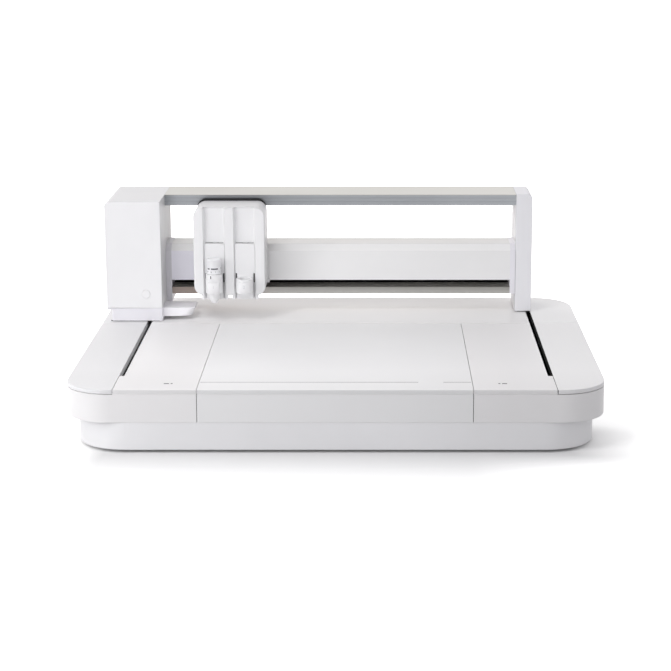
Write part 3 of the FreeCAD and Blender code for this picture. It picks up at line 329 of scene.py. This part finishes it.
def casing_finish(name, tone):
    """The casing's deck white with painted shade on its top at the left front, and a printed mark on each
    side of the bed.
    """
    finish, skin, rest = deck_white(name, tone)
    mark_middle = 0.1855
    mark_setback = 0.0274
    mark_half_depth = 0.0017
    bar_offset, bar_half = 0.0022, 0.0028
    dot_offset, dot_half = -0.0036, 0.0011
    front_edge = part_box("upper_casing")[0][1]
    on_top = on_top_of(finish, "upper_casing")
    across = finish.axis("X").size() - mark_middle
    on_line = (finish.axis("Y") - (front_edge + mark_setback)).size() < mark_half_depth
    bar = ((across - bar_offset).size() < bar_half) * on_line
    dot = ((across - dot_offset).size() < dot_half) * on_line
    ink = bar.most(dot) * on_top
    # Painted shade on the top at the left front.
    left = 1 - finish.axis("X").spread(-0.22, -0.13)
    front = 1 - finish.axis("Y").spread(-0.24, -0.10)
    skin = finish.mix(left * front * on_top, skin, dulled(tone, 0.84))
    return finish.shade({"Base Color": finish.mix(ink * 0.9, skin, colour(70, 70, 74)), **rest})


def bed_finish(name, tone):
    """The bed's deck white with a thin printed line near the front edge, darker to the right."""
    finish, skin, rest = deck_white(name, tone)
    low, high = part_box("bed_panel")
    line_setback = 0.0335
    line_half = 0.0007
    line_end_gap = 0.001
    break_start, break_end = 0.092, 0.120
    across = finish.axis("X")
    on_line = (finish.axis("Y") - (low[1] + line_setback)).size() < line_half
    main_run = (across > low[0] + line_end_gap) * (across < break_start)
    short_run = (across > break_end) * (across < high[0] - line_end_gap)
    ink = on_line * on_top_of(finish, "bed_panel") * main_run.most(short_run)
    line_tone = finish.mix(across.spread(-0.06, 0.06), colour(108, 108, 112), colour(40, 40, 43))
    return finish.shade({"Base Color": finish.mix(ink * 0.85, skin, line_tone), **rest})


def side_deck_finish(name, tone):
    """The side decks' white; the right slot's wall is painted near black as painted shade for the slot's
    dark inside.
    """
    finish, skin, rest = deck_white(name, tone)
    low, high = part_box("right_side_deck")
    wall_depth = 0.0003
    lip_height = 0.0004
    across = finish.axis("X")
    # Painted shade: the right slot's wall is coloured near black.
    wall = (across < low[0] + wall_depth) * (finish.axis("Z") < high[2] - lip_height)
    slot_wall_shade = wall * (across > 0)
    return finish.shade({"Base Color": finish.mix(slot_wall_shade, skin, colour(18, 18, 19)), **rest})


def top_beam_finish():
    """Brushed aluminium beam with a front face painted darker as painted shade, and darker painted shade in
    its two grooves.
    """
    finish = Finish("top_beam_aluminium")
    low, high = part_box("top_beam")
    brush_depth = 0.000004
    face_depth = 0.0011
    edge_round = 0.0007
    groove_half = 0.0006
    lines = finish.lines(beam_stretch)
    height = finish.axis("Z")
    # Painted shade: the front face below its rounded top edge is darker than the top, and darker lines lie
    # in the two grooves.
    face = (finish.axis("Y") < low[1] + face_depth) * (height < high[2] - edge_round)
    grooves = [(height - (high[2] - drop)).size() < groove_half for drop in (0.0044, 0.0088)]
    top = finish.mix(lines, colour(207, 204, 198), colour(215, 212, 207))
    front = finish.mix(lines, colour(153, 156, 160), colour(167, 170, 174))
    front = finish.mix(grooves[0].most(grooves[1]) * 0.2, front, colour(120, 122, 126))
    return finish.shade({
        "Base Color": finish.mix(face, top, front),
        "Metallic": 1.0,
        "Roughness": 0.28 + 0.10 * lines + 0.06 * finish.clouds(9, 2),
        "Normal": finish.bump(lines, brush_depth),
    })


def lower_rail_finish():
    """Extruded rail: satin face with painted shade darkening it towards its top, warmer at its left end,
    and a duller top with painted light and shade, dull at the front, bright behind, and near black at its
    rear as painted shadow under the cover.
    """
    finish = Finish("lower_rail_aluminium")
    low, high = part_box("lower_rail")
    brush_depth = 0.000004
    top_depth = 0.0003
    shadow_from = 0.030
    track_start, track_end = 0.004, 0.020
    lines = finish.lines(beam_stretch)
    along = finish.axis("Y")
    height = finish.axis("Z")
    # Painted light and shade on the top: dull at the front, bright further back, then near black as painted
    # shadow under the cover.
    top = height > high[2] - top_depth
    black = top * (along > low[1] + shadow_from)
    fore = 1 - along.spread(low[1] + track_start, low[1] + track_end)
    warm = 1 - finish.axis("X").spread(-0.16, -0.08)
    # Painted shade darkens the face towards its top, under the cover.
    face = finish.mix(height.spread(low[2], high[2]), colour(216, 215, 211), colour(175, 174, 169))
    face = finish.mix(warm * 0.8, face, colour(168, 150, 141))
    face = finish.mix(lines * 0.12, face, grey(120))
    track = finish.mix(fore, colour(250, 247, 240), colour(128, 126, 121))
    return finish.shade({
        "Base Color": finish.mix(black, finish.mix(top, face, track), colour(24, 24, 25)),
        "Metallic": 1 - top * 0.9,
        "Roughness": 0.30 + 0.10 * lines + top * 0.2,
        "Normal": finish.bump(lines, brush_depth),
    })


def end_cover_finish(name, tone, node, inner_side, inner_shade_share, top_shade_share):
    """A gantry end's white with painted shade on a duller inner side and top."""
    finish = Finish(name)
    side_reach, side_depth = 0.0008, 0.0003
    top_reach, top_depth = 0.0012, 0.0004
    top_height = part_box(node)[1][2]
    inner = (finish.axis("X") - inner_side).size().spread(side_reach, side_depth)
    top = finish.axis("Z").spread(top_height - top_reach, top_height - top_depth)
    # Painted shade on the top and on the inner side.
    skin = finish.mix(top, white_skin(finish, tone), dulled(tone, top_shade_share))
    skin = finish.mix(inner, skin, dulled(tone, inner_shade_share))
    return moulded(finish, skin, shine=0.06)


def carriage_finish(name, tone):
    """The carriage's white with painted shade, duller on top and on its right side."""
    finish = Finish(name)
    side_reach, side_depth = 0.0038, 0.0028
    top_reach, top_depth = 0.0028, 0.0010
    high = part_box("carriage_cover")[1]
    side = finish.axis("X").spread(high[0] - side_reach, high[0] - side_depth)
    top = finish.axis("Z").spread(high[2] - top_reach, high[2] - top_depth)
    # Painted shade on the right side and on the top.
    skin = finish.mix(side, white_skin(finish, tone), dulled(tone, 0.80))
    skin = finish.mix(top, skin, dulled(tone, 0.85))
    return moulded(finish, skin, shine=0.12)


def lower_cover_finish(name, tone):
    """The lower cover's white with painted light and shade: duller top, brighter slope below it, cooler
    painted shade beside the tower.
    """
    finish = Finish(name)
    slope_height = 0.0079
    top_depth = 0.0003
    top_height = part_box("lower_beam_cover")[1][2]
    height = finish.axis("Z")
    top = height > top_height - top_depth
    slope = (height > top_height - slope_height) * (height < top_height - top_depth)
    # Painted shade: a cooler tint beside the tower; painted shade on the top and painted light on the slope
    # below it.
    beside = 1 - finish.axis("X").spread(-0.16, -0.10)
    cool_shade = (tone[0] * 0.99, tone[1] * 0.98, min(1.0, tone[2] * 1.06), 1.0)
    skin = finish.mix(beside, white_skin(finish, tone), cool_shade)
    skin = finish.mix(top, skin, dulled(tone, 0.87))
    skin = finish.mix(slope, skin, dulled(tone, 1.03))
    return moulded(finish, skin)


def seal_rubber(name):
    """Slot seals: black rubber mottled with dust, painted grey on the left as painted light where light
    reaches into the left slot.
    """
    finish = Finish(name)
    dust_depth = 0.00004
    dust = finish.noise(260, 3).spread(0.3, 0.7)
    # Painted light: the seals in the left slot are grey, with the dust mottling on both.
    left = finish.axis("X") < 0
    lit_and_dusty = finish.mix(dust, colour(186, 186, 188), colour(204, 204, 206))
    black = finish.mix(dust, colour(20, 20, 21), colour(34, 34, 35))
    return finish.shade({
        "Base Color": finish.mix(left, black, lit_and_dusty),
        "Roughness": 0.65 + 0.15 * dust,
        "Normal": finish.bump(dust, dust_depth),
    })


def belt_rubber(name, letter):
    """Black belt with teeth across it."""
    finish = Finish(name)
    tooth_pitch = 0.002
    tooth_depth = 0.0003
    turns = finish.axis(letter) * (2 * math.pi / tooth_pitch)
    teeth = finish.add("Math", {"operation": "SINE"}, {0: turns})
    dust = finish.noise(220, 3).spread(0.45, 0.8)
    return finish.shade({
        "Base Color": finish.mix(dust, colour(24, 24, 25), grey(52)),
        "Roughness": 0.6 + 0.15 * dust,
        "Normal": finish.bump(teeth, tooth_depth),
    })


def main_board_finish(name):
    """Green circuit board with its black chips and bright cans told apart by height."""
    finish = Finish(name)
    board_top = 0.0176
    chip_foot = board_top + 0.0002
    chip_top = board_top + 0.0026
    green, lacquer, relief = lacquered_green(finish)
    height = finish.axis("Z")
    chip = (height > chip_foot) * (height < chip_top)
    can = height > chip_top
    skin = finish.mix(chip, green, colour(26, 26, 28))
    return finish.shade({
        "Base Color": finish.mix(can, skin, colour(176, 178, 184)),
        "Metallic": can * 0.9,
        "Roughness": 0.32 + 0.15 * lacquer,
        "Normal": relief,
    })


shell_white = colour(240, 240, 241)
post_white = colour(243, 243, 246)
tower_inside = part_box("tower_cover")[1][0]
post_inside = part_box("post_cover")[0][0]
finish_of_slot = {
    "white_plastic": moulded_white("white_moulding", shell_white),
    "black_plastic": black_moulding("black_moulding", colour(30, 30, 32)),
    "aluminium": brushed_aluminium("brushed_aluminium", colour(214, 213, 210), (6, 900, 900)),
    "steel": turned_steel("turned_steel", colour(190, 190, 192), (40, 700, 700)),
    "black_metal": black_moulding("black_coated_steel", colour(34, 34, 36), 2200, 0.5),
    "rubber": black_moulding("rubber", grey(28), 900, 0.7),
    "circuit_board": circuit_board("circuit_board"),
}
finish_of_node = {
    "upper_casing": casing_finish("deck_moulding", colour(250, 249, 249)),
    "bed_panel": bed_finish("bed_moulding", grey(250)),
    # The left side deck's darker tone is painted shade and the right one's brighter tone painted light.
    "left_side_deck": side_deck_finish("left_side_deck_moulding", colour(235, 235, 236)),
    "right_side_deck": side_deck_finish("right_side_deck_moulding", grey(252)),
    "tower_cover": end_cover_finish(
        "tower_moulding", shell_white, "tower_cover", tower_inside, inner_shade_share=0.77, top_shade_share=0.88),
    "post_cover": end_cover_finish(
        "post_moulding", post_white, "post_cover", post_inside, inner_shade_share=0.66, top_shade_share=0.97),
    # The skirt's darker, cooler tone is painted shade under the tower's cover.
    "tower_skirt": moulded_white("skirt_moulding", colour(234, 233, 238)),
    # The tray's right end is painted darker as painted shade.
    "bottom_tray": moulded_white("tray_moulding", colour(246, 246, 247), 1300, 0.45, right_shading_share=0.9326),
    "top_beam": top_beam_finish(),
    "lower_rail": lower_rail_finish(),
    "lower_beam_cover": lower_cover_finish("lower_cover_moulding", grey(242)),
    # The end caps' darker, cooler tone is painted shade beside the gantry's ends, and their right end gets
    # painted light.
    "beam_end_caps": moulded_white("end_cap_moulding", colour(222, 221, 226), right_shading_share=1.2021),
    "carriage_cover": carriage_finish("carriage_moulding", shell_white),
    "slot_seals": seal_rubber("seal_rubber"),
    "y_belts": belt_rubber("long_belt_rubber", "Y"),
    "x_belt": belt_rubber("cross_belt_rubber", "X"),
    "main_board": main_board_finish("main_board"),
}
slot_of_node = {part["node"]: part["material_slot"] for part in frame["record"]["subparts"]}
for name, node in nodes.items():
    for place in node.material_slots:
        place.material = finish_of_node.get(name, finish_of_slot[slot_of_node[name]])

# The rest's brighter tone is painted light for its top in the tower's shade.
rest_white = moulded_white("rest_moulding", colour(250, 249, 252), 1500, 0.42)
tool_white = moulded_white("tool_moulding", colour(240, 240, 242), 1800, 0.34)
figure_grey = moulded_white("raised_figures", colour(214, 214, 218), 1800, 0.40)
lip_white = moulded_white("slot_lip_moulding", grey(252), 900, 0.16)
print_grey = black_moulding("printed_marks", colour(84, 84, 90), 2400, 0.5)
screw_steel = turned_steel("screw_steel", colour(176, 177, 180), (500, 500, 500))


# Modelling with mesh operators

upright = (math.radians(90), 0, 0)


def choose(*pieces):
    """Selects these pieces alone and makes the first of them the active one."""
    bpy.ops.object.select_all(action="DESELECT")
    for piece in pieces:
        piece.select_set(True)
    if pieces:
        bpy.context.view_layer.objects.active = pieces[0]


def settle(name):
    """Names the active piece and puts its place into its mesh."""
    piece = bpy.context.object
    piece.name = name
    piece.data.name = name
    bpy.ops.object.transform_apply(location=True, rotation=True, scale=True)
    return piece


def halfway(low, high):
    """The middle of a box."""
    return tuple((start + end) / 2 for start, end in zip(low, high))


def block(name, low, high):
    """A block between two corners, ready to be shaped."""
    choose()
    bpy.ops.mesh.primitive_cube_add(size=1.0, location=halfway(low, high))
    bpy.context.object.scale = [end - start for start, end in zip(low, high)]
    return settle(name)


def open_piece(piece, kind="FACE"):
    """Opens one piece for editing, with nothing selected in it."""
    choose(piece)
    bpy.ops.object.mode_set(mode="EDIT")
    bpy.ops.mesh.select_mode(type=kind)
    bpy.ops.mesh.select_all(action="DESELECT")


def close_piece(angle=40):
    """Turns the faces outwards, shades the round ones smooth and ends the editing."""
    bpy.ops.mesh.select_all(action="SELECT")
    bpy.ops.mesh.remove_doubles(threshold=0.000001)
    bpy.ops.mesh.normals_make_consistent(inside=False)
    bpy.ops.object.mode_set(mode="OBJECT")
    bpy.ops.object.shade_smooth_by_angle(angle=math.radians(angle))


def pick_faces(piece, wanted):
    """Selects the faces whose middle and normal are wanted."""
    bpy.ops.mesh.select_all(action="DESELECT")
    shape = bmesh.from_edit_mesh(piece.data)
    for face in shape.faces:
        face.select_set(wanted(face.calc_center_median(), face.normal))
    bmesh.update_edit_mesh(piece.data)


def pick_edges(piece, wanted):
    """Selects the edges whose two ends are wanted."""
    bpy.ops.mesh.select_all(action="DESELECT")
    shape = bmesh.from_edit_mesh(piece.data)
    for edge in shape.edges:
        edge.select_set(all(wanted(end.co) for end in edge.verts))
    bmesh.update_edit_mesh(piece.data)


def round_edges(piece, offset, segments, wanted):
    """Rounds off the edges whose two ends are wanted."""
    pick_edges(piece, wanted)
    bpy.ops.mesh.bevel(offset=offset, offset_type="OFFSET", segments=segments, profile=0.5)


def turned(name, centre, radius, sides, steps):
    """A disc drawn up ring by ring, left open; each step is a rise and the ring's radius."""
    choose()
    bpy.ops.mesh.primitive_circle_add(vertices=sides, radius=radius, fill_type="NGON", location=centre)
    piece = settle(name)
    open_piece(piece)
    bpy.ops.mesh.select_all(action="SELECT")
    for rise, reach in steps:
        bpy.ops.mesh.extrude_region_move(TRANSFORM_OT_translate={"value": (0, 0, rise)})
        share = reach / radius
        bpy.ops.transform.resize(value=(share, share, 1), center_override=centre)
        radius = reach
    return piece


def hand_over(piece, body, slot, finish, *replaced):
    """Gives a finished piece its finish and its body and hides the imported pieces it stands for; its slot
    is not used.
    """
    if not piece.data.materials:
        piece.data.materials.append(finish)
    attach(piece, body)
    if replaced:
        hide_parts(*replaced)


def joined(name, pieces):
    """Several pieces made one."""
    choose(*pieces)
    bpy.ops.object.join()
    return settle(name)


def twin(piece, name, move, tilt):
    """A copy of a piece with its own mesh, tilted about the X axis and then moved."""
    choose(piece)
    bpy.ops.object.duplicate(linked=False)
    copy = bpy.context.object
    copy.rotation_euler = (tilt, 0, 0)
    copy.location = move
    return settle(name)


def lettering(name, words, tall, deep, place, turn):
    """Plain moulded or printed figures, made a mesh before they are put in place."""
    choose()
    bpy.ops.object.text_add()
    figure = bpy.context.object
    figure.data.body = words
    figure.data.size = tall
    figure.data.extrude = deep
    figure.data.align_x = "CENTER"
    figure.data.align_y = "CENTER"
    bpy.ops.object.convert(target="MESH")
    figure = bpy.context.object
    figure.rotation_euler = turn
    figure.location = place
    return settle(name)


# Rest on the tower's inner side


def tool_rest():
    """A slab whose free end is rounded off and leans out like a prow."""
    low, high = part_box("setting_pad")
    near = 1e-4
    nearer = 1e-5
    prow = 0.0095
    lean = -0.006
    piece = block("tool_rest", low, high)
    open_piece(piece, "EDGE")
    round_edges(piece, 0.009, 12, lambda end: end.x > high[0] - near and end.y < low[1] + near)
    round_edges(piece, 0.004, 4, lambda end: end.x > high[0] - near and end.y > high[1] - near)
    pick_edges(piece, lambda end: end.z < low[2] + nearer and end.x > high[0] - prow)
    bpy.ops.transform.translate(value=(lean, 0, 0))
    round_edges(piece, 0.0012, 3, lambda end: end.z < low[2] + nearer and end.x > low[0] + near)
    round_edges(piece, 0.0024, 5, lambda end: end.z > high[2] - nearer and end.x > low[0] + near)
    close_piece(35)
    hand_over(piece, "gantry", "white_plastic", rest_white, "setting_pad")


# Blade holder's dial


def dial():
    """Grip with flutes over a band of figures and a printed mark line."""
    low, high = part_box("depth_dial")
    axis = halfway(low, high)[:2]
    foot_height = low[2]
    grip = (high[0] - low[0]) / 2
    shoulder = grip - 0.0001
    band = grip - 0.0004
    foot = band - 0.0003
    line_height = foot_height + 0.0071
    flute_foot, flute_top = foot_height + 0.0090, foot_height + 0.0170
    flute_gap, flute_depth = 0.00012, 0.0003
    piece = turned("depth_dial_ribbed", (*axis, foot_height), foot, 72, [
        (0.0003, band), (0.0054, band),
        (0.0001, shoulder), (0.0005, shoulder), (0.0017, shoulder), (0.0006, shoulder),
        (0.0090, grip), (0.0009, grip - 0.0004), (0.0006, grip - 0.0015),
        (0.0001, grip - 0.0025), (-0.0004, grip - 0.0030)])
    pick_faces(piece, lambda middle, normal: fluted(middle, axis, flute_foot, flute_top))
    bpy.ops.mesh.inset(thickness=flute_gap, use_individual=True)
    bpy.ops.mesh.extrude_faces_move(TRANSFORM_OT_shrink_fatten={"value": -flute_depth})
    piece.data.materials.append(tool_white)
    piece.data.materials.append(print_grey)
    pick_faces(piece, lambda middle, normal: marked(middle, axis, line_height))
    piece.active_material_index = 1
    bpy.ops.object.material_slot_assign()
    close_piece(30)
    hand_over(piece, "depth_dial", "white_plastic", tool_white, "depth_dial")
    dial_figures(axis, band, foot_height)


def dial_figures(axis, band, foot_height):
    """Ten printed figures round the dial's band."""
    figure_height = foot_height + 0.0031
    tall, deep = 0.0030, 0.00006
    spacing, start = 36, -18
    figures = []
    for step in range(10):
        bearing = math.radians(spacing * step + start)
        place = (*round_axis(axis, band, bearing), figure_height)
        turn = (math.radians(90), 0, bearing)
        figures.append(lettering("dial_figure", str(step), tall, deep, place, turn))
    figures = joined("dial_figures", figures)
    hand_over(figures, "depth_dial", "black_plastic", print_grey)


def round_axis(axis, radius, bearing):
    """The point at a bearing round an axis, measured from the front."""
    return axis[0] + radius * math.sin(bearing), axis[1] - radius * math.cos(bearing)


def bearing_of(point, axis):
    """The bearing of a point round an axis, in degrees from the front."""
    return math.degrees(math.atan2(point.x - axis[0], axis[1] - point.y))


def fluted(point, axis, low, high):
    """Whether a face of the grip is one of its flutes: every second facet of 5 degrees."""
    return low < point.z < high and int((bearing_of(point, axis) + 180) // 5) % 2 == 0


def marked(point, axis, line_height):
    """Whether a face lies on the printed line, which is broken in three places."""
    line_half = 0.0006
    if abs(point.z - line_height) > line_half:
        return False
    bearing = bearing_of(point, axis)
    return -56 < bearing < -32 or -20 < bearing < 40 or bearing > 75 or bearing < -80


def index_mark():
    """Printed line on the blade holder's collar that the dial is read against."""
    low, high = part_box("depth_dial")
    axis = halfway(low, high)[:2]
    collar = 0.0102
    drop = 0.0035
    bearing = math.radians(-19)
    piece = block("index_mark", (-0.0006, -0.00012, -0.0018), (0.0006, 0.0003, 0.0018))
    open_piece(piece, "EDGE")
    round_edges(piece, 0.0001, 2, lambda end: end.y < 0)
    close_piece()
    piece.rotation_euler = (0, 0, bearing)
    piece.location = (*round_axis(axis, collar, bearing), low[2] - drop)
    piece = settle("index_mark")
    hand_over(piece, "blade_holder", "black_plastic", print_grey)


# Lock figures, button ring and slot lips


def socket_figures():
    """Raised 1 and 2 on the two lock tabs."""
    tall, deep = 0.0052, 0.00025
    for number in ("1", "2"):
        low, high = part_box("tool_lock_" + number)
        middle = halfway(low, high)
        place = (middle[0], low[1], middle[2])
        piece = lettering("socket_figure_" + number, number, tall, deep, place, upright)
        hand_over(piece, "lock_" + number, "white_plastic", figure_grey)


def button_bezel():
    """Soft ring that closes the gap round the power button."""
    middle = halfway(*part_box("power_button"))
    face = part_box("tower_cover")[0][1]
    recess = 0.0001
    deep = 0.0012
    outer = 0.00568
    inner = 0.00549
    piece = turned("button_bezel", (0, 0, deep), outer, 48, [
        (-0.0010, outer), (-0.00005, outer - 0.00006), (0.0, inner), (deep, inner - 0.00003)])
    pick_faces(piece, lambda point, normal: abs(normal.z) > 0.9 and math.hypot(point.x, point.y) < 0.001)
    bpy.ops.mesh.delete(type="FACE")
    bpy.ops.mesh.select_mode(type="EDGE")
    pick_edges(piece, lambda end: math.hypot(end.x, end.y) > 0.005 and end.z > 0.0009)
    bpy.ops.mesh.bridge_edge_loops()
    close_piece(30)
    piece.rotation_euler = (math.radians(-90), 0, 0)
    piece.location = (middle[0], face + recess, middle[2])
    piece = settle("button_bezel")
    hand_over(piece, "gantry", "white_plastic", tool_white)


def slot_lips():
    """Polished half-round lip along the inner edge of each slot."""
    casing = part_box("upper_casing")[1][2]
    slot_edge = 0.2388
    slot_front = -0.1798
    slot_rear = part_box("y_sliders")[1][1]
    wide = 0.0012
    sunk, proud = 0.0004, 0.0003
    for name, hand in (("left_slot_lip", -1), ("right_slot_lip", 1)):
        sides = sorted((hand * (slot_edge - wide), hand * slot_edge))
        piece = block(name, (sides[0], slot_front, casing - sunk), (sides[1], slot_rear, casing + proud))
        open_piece(piece, "EDGE")
        round_edges(piece, 0.00028, 4, lambda end: end.z > casing)
        close_piece(50)
        hand_over(piece, "base", "white_plastic", lip_white)


# Screws, feet and wipers


def cross_screw():
    """A pan head with a cross recess, head up at the origin, and its shank below."""
    shank, length = 0.0011, 0.0060
    head = 0.00255
    arm_long, arm_wide = 0.0014, 0.00028
    arm_foot, arm_top = 0.0004, 0.003
    piece = turned("cross_screw", (0, 0, -length), shank, 24, [
        (length, shank), (0.0, head), (0.0006, head), (0.0004, 0.0022), (0.0002, 0.0014)])
    close_piece(30)
    arms = []
    for turn in (0.0, math.radians(90)):
        arm = block("recess", (-arm_long, -arm_wide, arm_foot), (arm_long, arm_wide, arm_top))
        arm.rotation_euler = (0, 0, turn)
        arms.append(settle("recess"))
    for arm in arms:
        cut = piece.modifiers.new("recess", "BOOLEAN")
        cut.object = arm
        cut.solver = "EXACT"
        choose(piece)
        bpy.ops.object.modifier_apply(modifier=cut.name)
    for arm in arms:
        bpy.data.objects.remove(arm)
    return piece


def solid_boxes(node):
    """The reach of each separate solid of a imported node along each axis."""
    mesh = nodes[node].data
    home = list(range(len(mesh.vertices)))
    spot = {}

    def top(index):
        while home[index] != index:
            home[index] = home[home[index]]
            index = home[index]
        return index

    for point in mesh.vertices:
        key = tuple(round(value, 6) for value in point.co)
        home[top(point.index)] = top(spot.setdefault(key, point.index))
    for edge in mesh.edges:
        home[top(edge.vertices[0])] = top(edge.vertices[1])
    groups = {}
    for point in mesh.vertices:
        groups.setdefault(top(point.index), []).append(point.co)
    return [[(min(values), max(values)) for values in zip(*points)] for points in groups.values()]


def screws():
    """Cross-head screws behind the gantry and under the tray."""
    master = cross_screw()
    head_tall = 0.0012
    heads = []
    for x, y, z in solid_boxes("gantry_screws"):
        place = (sum(x) / 2, y[1] - head_tall, sum(z) / 2)
        heads.append(twin(master, "cover_screw", place, math.radians(-90)))
    heads = joined("cover_screws", heads)
    hand_over(heads, "gantry", "steel", screw_steel, "gantry_screws")
    heads = []
    for x, y, z in solid_boxes("tray_screws"):
        place = (sum(x) / 2, sum(y) / 2, z[0] + head_tall)
        heads.append(twin(master, "tray_screw", place, math.radians(180)))
    heads = joined("tray_cross_screws", heads)
    hand_over(heads, "base", "steel", screw_steel, "tray_screws")
    bpy.data.objects.remove(master)


def rubber_feet():
    """Soft discs with a rounded rim and a ring groove underneath."""
    rim = 0.0008
    groove = 0.0007
    pads = []
    for x, y, z in solid_boxes("feet"):
        radius = (x[1] - x[0]) / 2
        tall = z[1] - z[0]
        piece = turned("foot", (sum(x) / 2, sum(y) / 2, z[1]), radius, 40, [
            (rim - tall, radius), (-0.0005, radius - 0.0003), (-0.0003, radius - 0.001),
            (0.0, radius - 0.003), (groove, radius - 0.0034),
            (0.0, radius - 0.0047), (-groove, radius - 0.0051)])
        close_piece(30)
        pads.append(piece)
    pads = joined("ringed_feet", pads)
    hand_over(pads, "base", "rubber", finish_of_slot["rubber"], "feet")


def dust_wipers():
    """Thin lips under the gantry's two ends that wipe the deck."""
    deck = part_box("upper_casing")[1][2]
    setback, reach = 0.0015, 0.0027
    end_gap = 0.004
    deck_gap = 0.00015
    sunk = 0.0003
    lip = 0.0003
    for name, node, hand in (("left_dust_wiper", "tower_skirt", 1), ("right_dust_wiper", "post_cover", -1)):
        low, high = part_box(node)
        inner = high[0] if hand > 0 else low[0]
        sides = sorted((inner - hand * setback, inner - hand * reach))
        front_run = ((low[0] + end_gap, low[1] + setback), (high[0] - end_gap, low[1] + reach))
        side_run = ((sides[0], low[1] + end_gap), (sides[1], high[1] - end_gap))
        strips = []
        for near_corner, far_corner in (front_run, side_run):
            strip = block("dust_wiper", (*near_corner, deck + deck_gap), (*far_corner, low[2] + sunk))
            open_piece(strip, "EDGE")
            round_edges(strip, lip, 3, lambda end: end.z < deck + lip)
            close_piece(50)
            strips.append(strip)
        hand_over(joined(name, strips), "gantry", "rubber", finish_of_slot["rubber"])


tool_rest()
dial()
index_mark()
socket_figures()
button_bezel()
slot_lips()
screws()
rubber_feet()
dust_wipers()


# Studio


def sweep():
    """White paper floor with its real shadow under the machine, shaped and strengthened by painted shadow
    in its glow.
    """
    # The rectangle from which the painted shadow spreads, set forward and to the right of the machine.
    left_edge, right_edge = -0.255, 0.261
    middle, half_depth = -0.208, 0.040
    choose()
    bpy.ops.mesh.primitive_plane_add(size=30.0)
    floor = bpy.context.object
    floor.name = "paper_sweep"
    paper = Finish("paper_sweep")
    across = paper.axis("X")
    off_left = (left_edge - across).most(0) * 2.5
    off_right = (across - right_edge).most(0) * 1.35
    off_side = off_left.most(off_right)
    right = across.spread(0.15, 0.27)
    off_end = ((paper.axis("Y") - middle).size() - half_depth).most(0) * (1 + right * 1.4)
    away = (off_side * off_side + off_end * off_end).root()
    near = away.spread(0.0, 0.115)
    far = away.spread(0.12, 0.6)
    bounce = paper.add("BsdfDiffuse", None, {"Color": (0.45, 0.45, 0.46, 1)}, "BSDF")
    body = paper.add("BsdfDiffuse", None, {"Color": (0.72, 0.72, 0.72, 1)}, "BSDF")
    # Painted shadow: the glow is weak near that rectangle and full far away, over the real shadow in the
    # diffuse body.
    shadow_shaped_glow = paper.mix(0.04 + near * 0.50 + far * 0.46, (0, 0, 0, 1), (1, 1, 1, 1))
    lift = paper.add("Emission", None, {"Color": shadow_shaped_glow, "Strength": 1.04}, "Emission")
    lit = paper.add("AddShader", None, {0: body, 1: lift})
    both = paper.add("MixShader", None, {0: paper.seen(), 1: bounce, 2: lit})
    paper.feed(paper.tree.nodes["Material Output"].inputs["Surface"], both)
    floor.data.materials.append(paper.material)


def surroundings():
    """Even light from all round; the background itself is white."""
    world = bpy.data.worlds.new("white_room")
    bpy.context.scene.world = world
    world.use_nodes = True
    room = Tree(world.node_tree)
    dim = room.add("Background", None, {"Color": (0.98, 0.97, 1.0, 1), "Strength": 0.532})
    white = room.add("Background", None, {"Color": (1, 1, 1, 1), "Strength": 1.0})
    both = room.add("MixShader", None, {0: room.seen(), 1: dim, 2: white})
    room.feed(world.node_tree.nodes["World Output"].inputs["Surface"], both)


def grey_card():
    """Dull card behind the camera that only bright metal mirrors."""
    choose()
    bpy.ops.mesh.primitive_plane_add(size=5.0, location=(0, -3.2, 0.6), rotation=upright)
    card = bpy.context.object
    card.name = "grey_card"
    board = Finish("grey_card")
    dull = board.add("Emission", None, {"Strength": 0.36}, "Emission")
    board.feed(board.tree.nodes["Material Output"].inputs["Surface"], dull)
    card.data.materials.append(board.material)
    card.visible_camera = False
    card.visible_diffuse = False
    card.visible_shadow = False


def softbox(name, place, aim, width, height, power, tint=(1, 1, 1)):
    """A large soft lamp turned to a point, not mirrored in gloss."""
    lamp = bpy.data.lights.new(name, "AREA")
    lamp.shape = "ELLIPSE" if width == height else "RECTANGLE"
    lamp.size = width
    lamp.size_y = height
    lamp.energy = power
    lamp.color = tint
    stand = bpy.data.objects.new(name, lamp)
    bpy.context.scene.collection.objects.link(stand)
    stand.location = place
    stand.rotation_euler = (Vector(aim) - Vector(place)).to_track_quat("-Z", "Y").to_euler()
    stand.visible_camera = False
    stand.visible_glossy = False


def photo_view():
    """The camera of the photograph."""
    pitch_down = 13.296
    lens = bpy.data.cameras.new("photo_view")
    lens.sensor_width = 36.0
    lens.lens = 101.94
    lens.shift_x = -0.06107
    view = bpy.data.objects.new("photo_view", lens)
    bpy.context.scene.collection.objects.link(view)
    view.location = (0.0455, -2.2536, 0.609)
    view.rotation_euler = (math.radians(90 - pitch_down), 0, 0)
    bpy.context.scene.camera = view


sweep()
surroundings()
grey_card()
warm = (1.0, 0.95, 0.92)
softbox("high_lamp", (-0.45, -0.65, 1.1), (-0.135, 0.15, 0.12), 0.5, 0.5, 4.1)
softbox("left_lamp", (-0.9, -0.65, 0.35), (-0.27, 0.15, 0.12), 0.5, 0.5, 2.65)
softbox("left_low_lamp", (-1.2, -0.35, 0.04), (-0.3, -0.15, 0.03), 0.6, 0.06, 0.62)
softbox("right_low_lamp", (1.2, -0.5, 0.12), (0.3, -0.15, 0.04), 0.6, 0.2, 0.85)
softbox("front_lamp", (0, -2.4, 1.3), (0, 0, 0.1), 1.6, 1.6, 5.0)
softbox("back_card", (0, 1.9, 0.75), (0, 0, 0.07), 3.0, 1.3, 14.5, warm)
softbox("left_back_card", (-1.2, 1.5, 0.5), (0, 0, 0.07), 1.6, 0.9, 18.0, warm)
softbox("right_back_lamp", (1.3, 1.3, 1.0), (0, 0, 0.1), 1.0, 1.0, 1.5)
photo_view()
bpy.context.scene.view_settings.view_transform = "Standard"
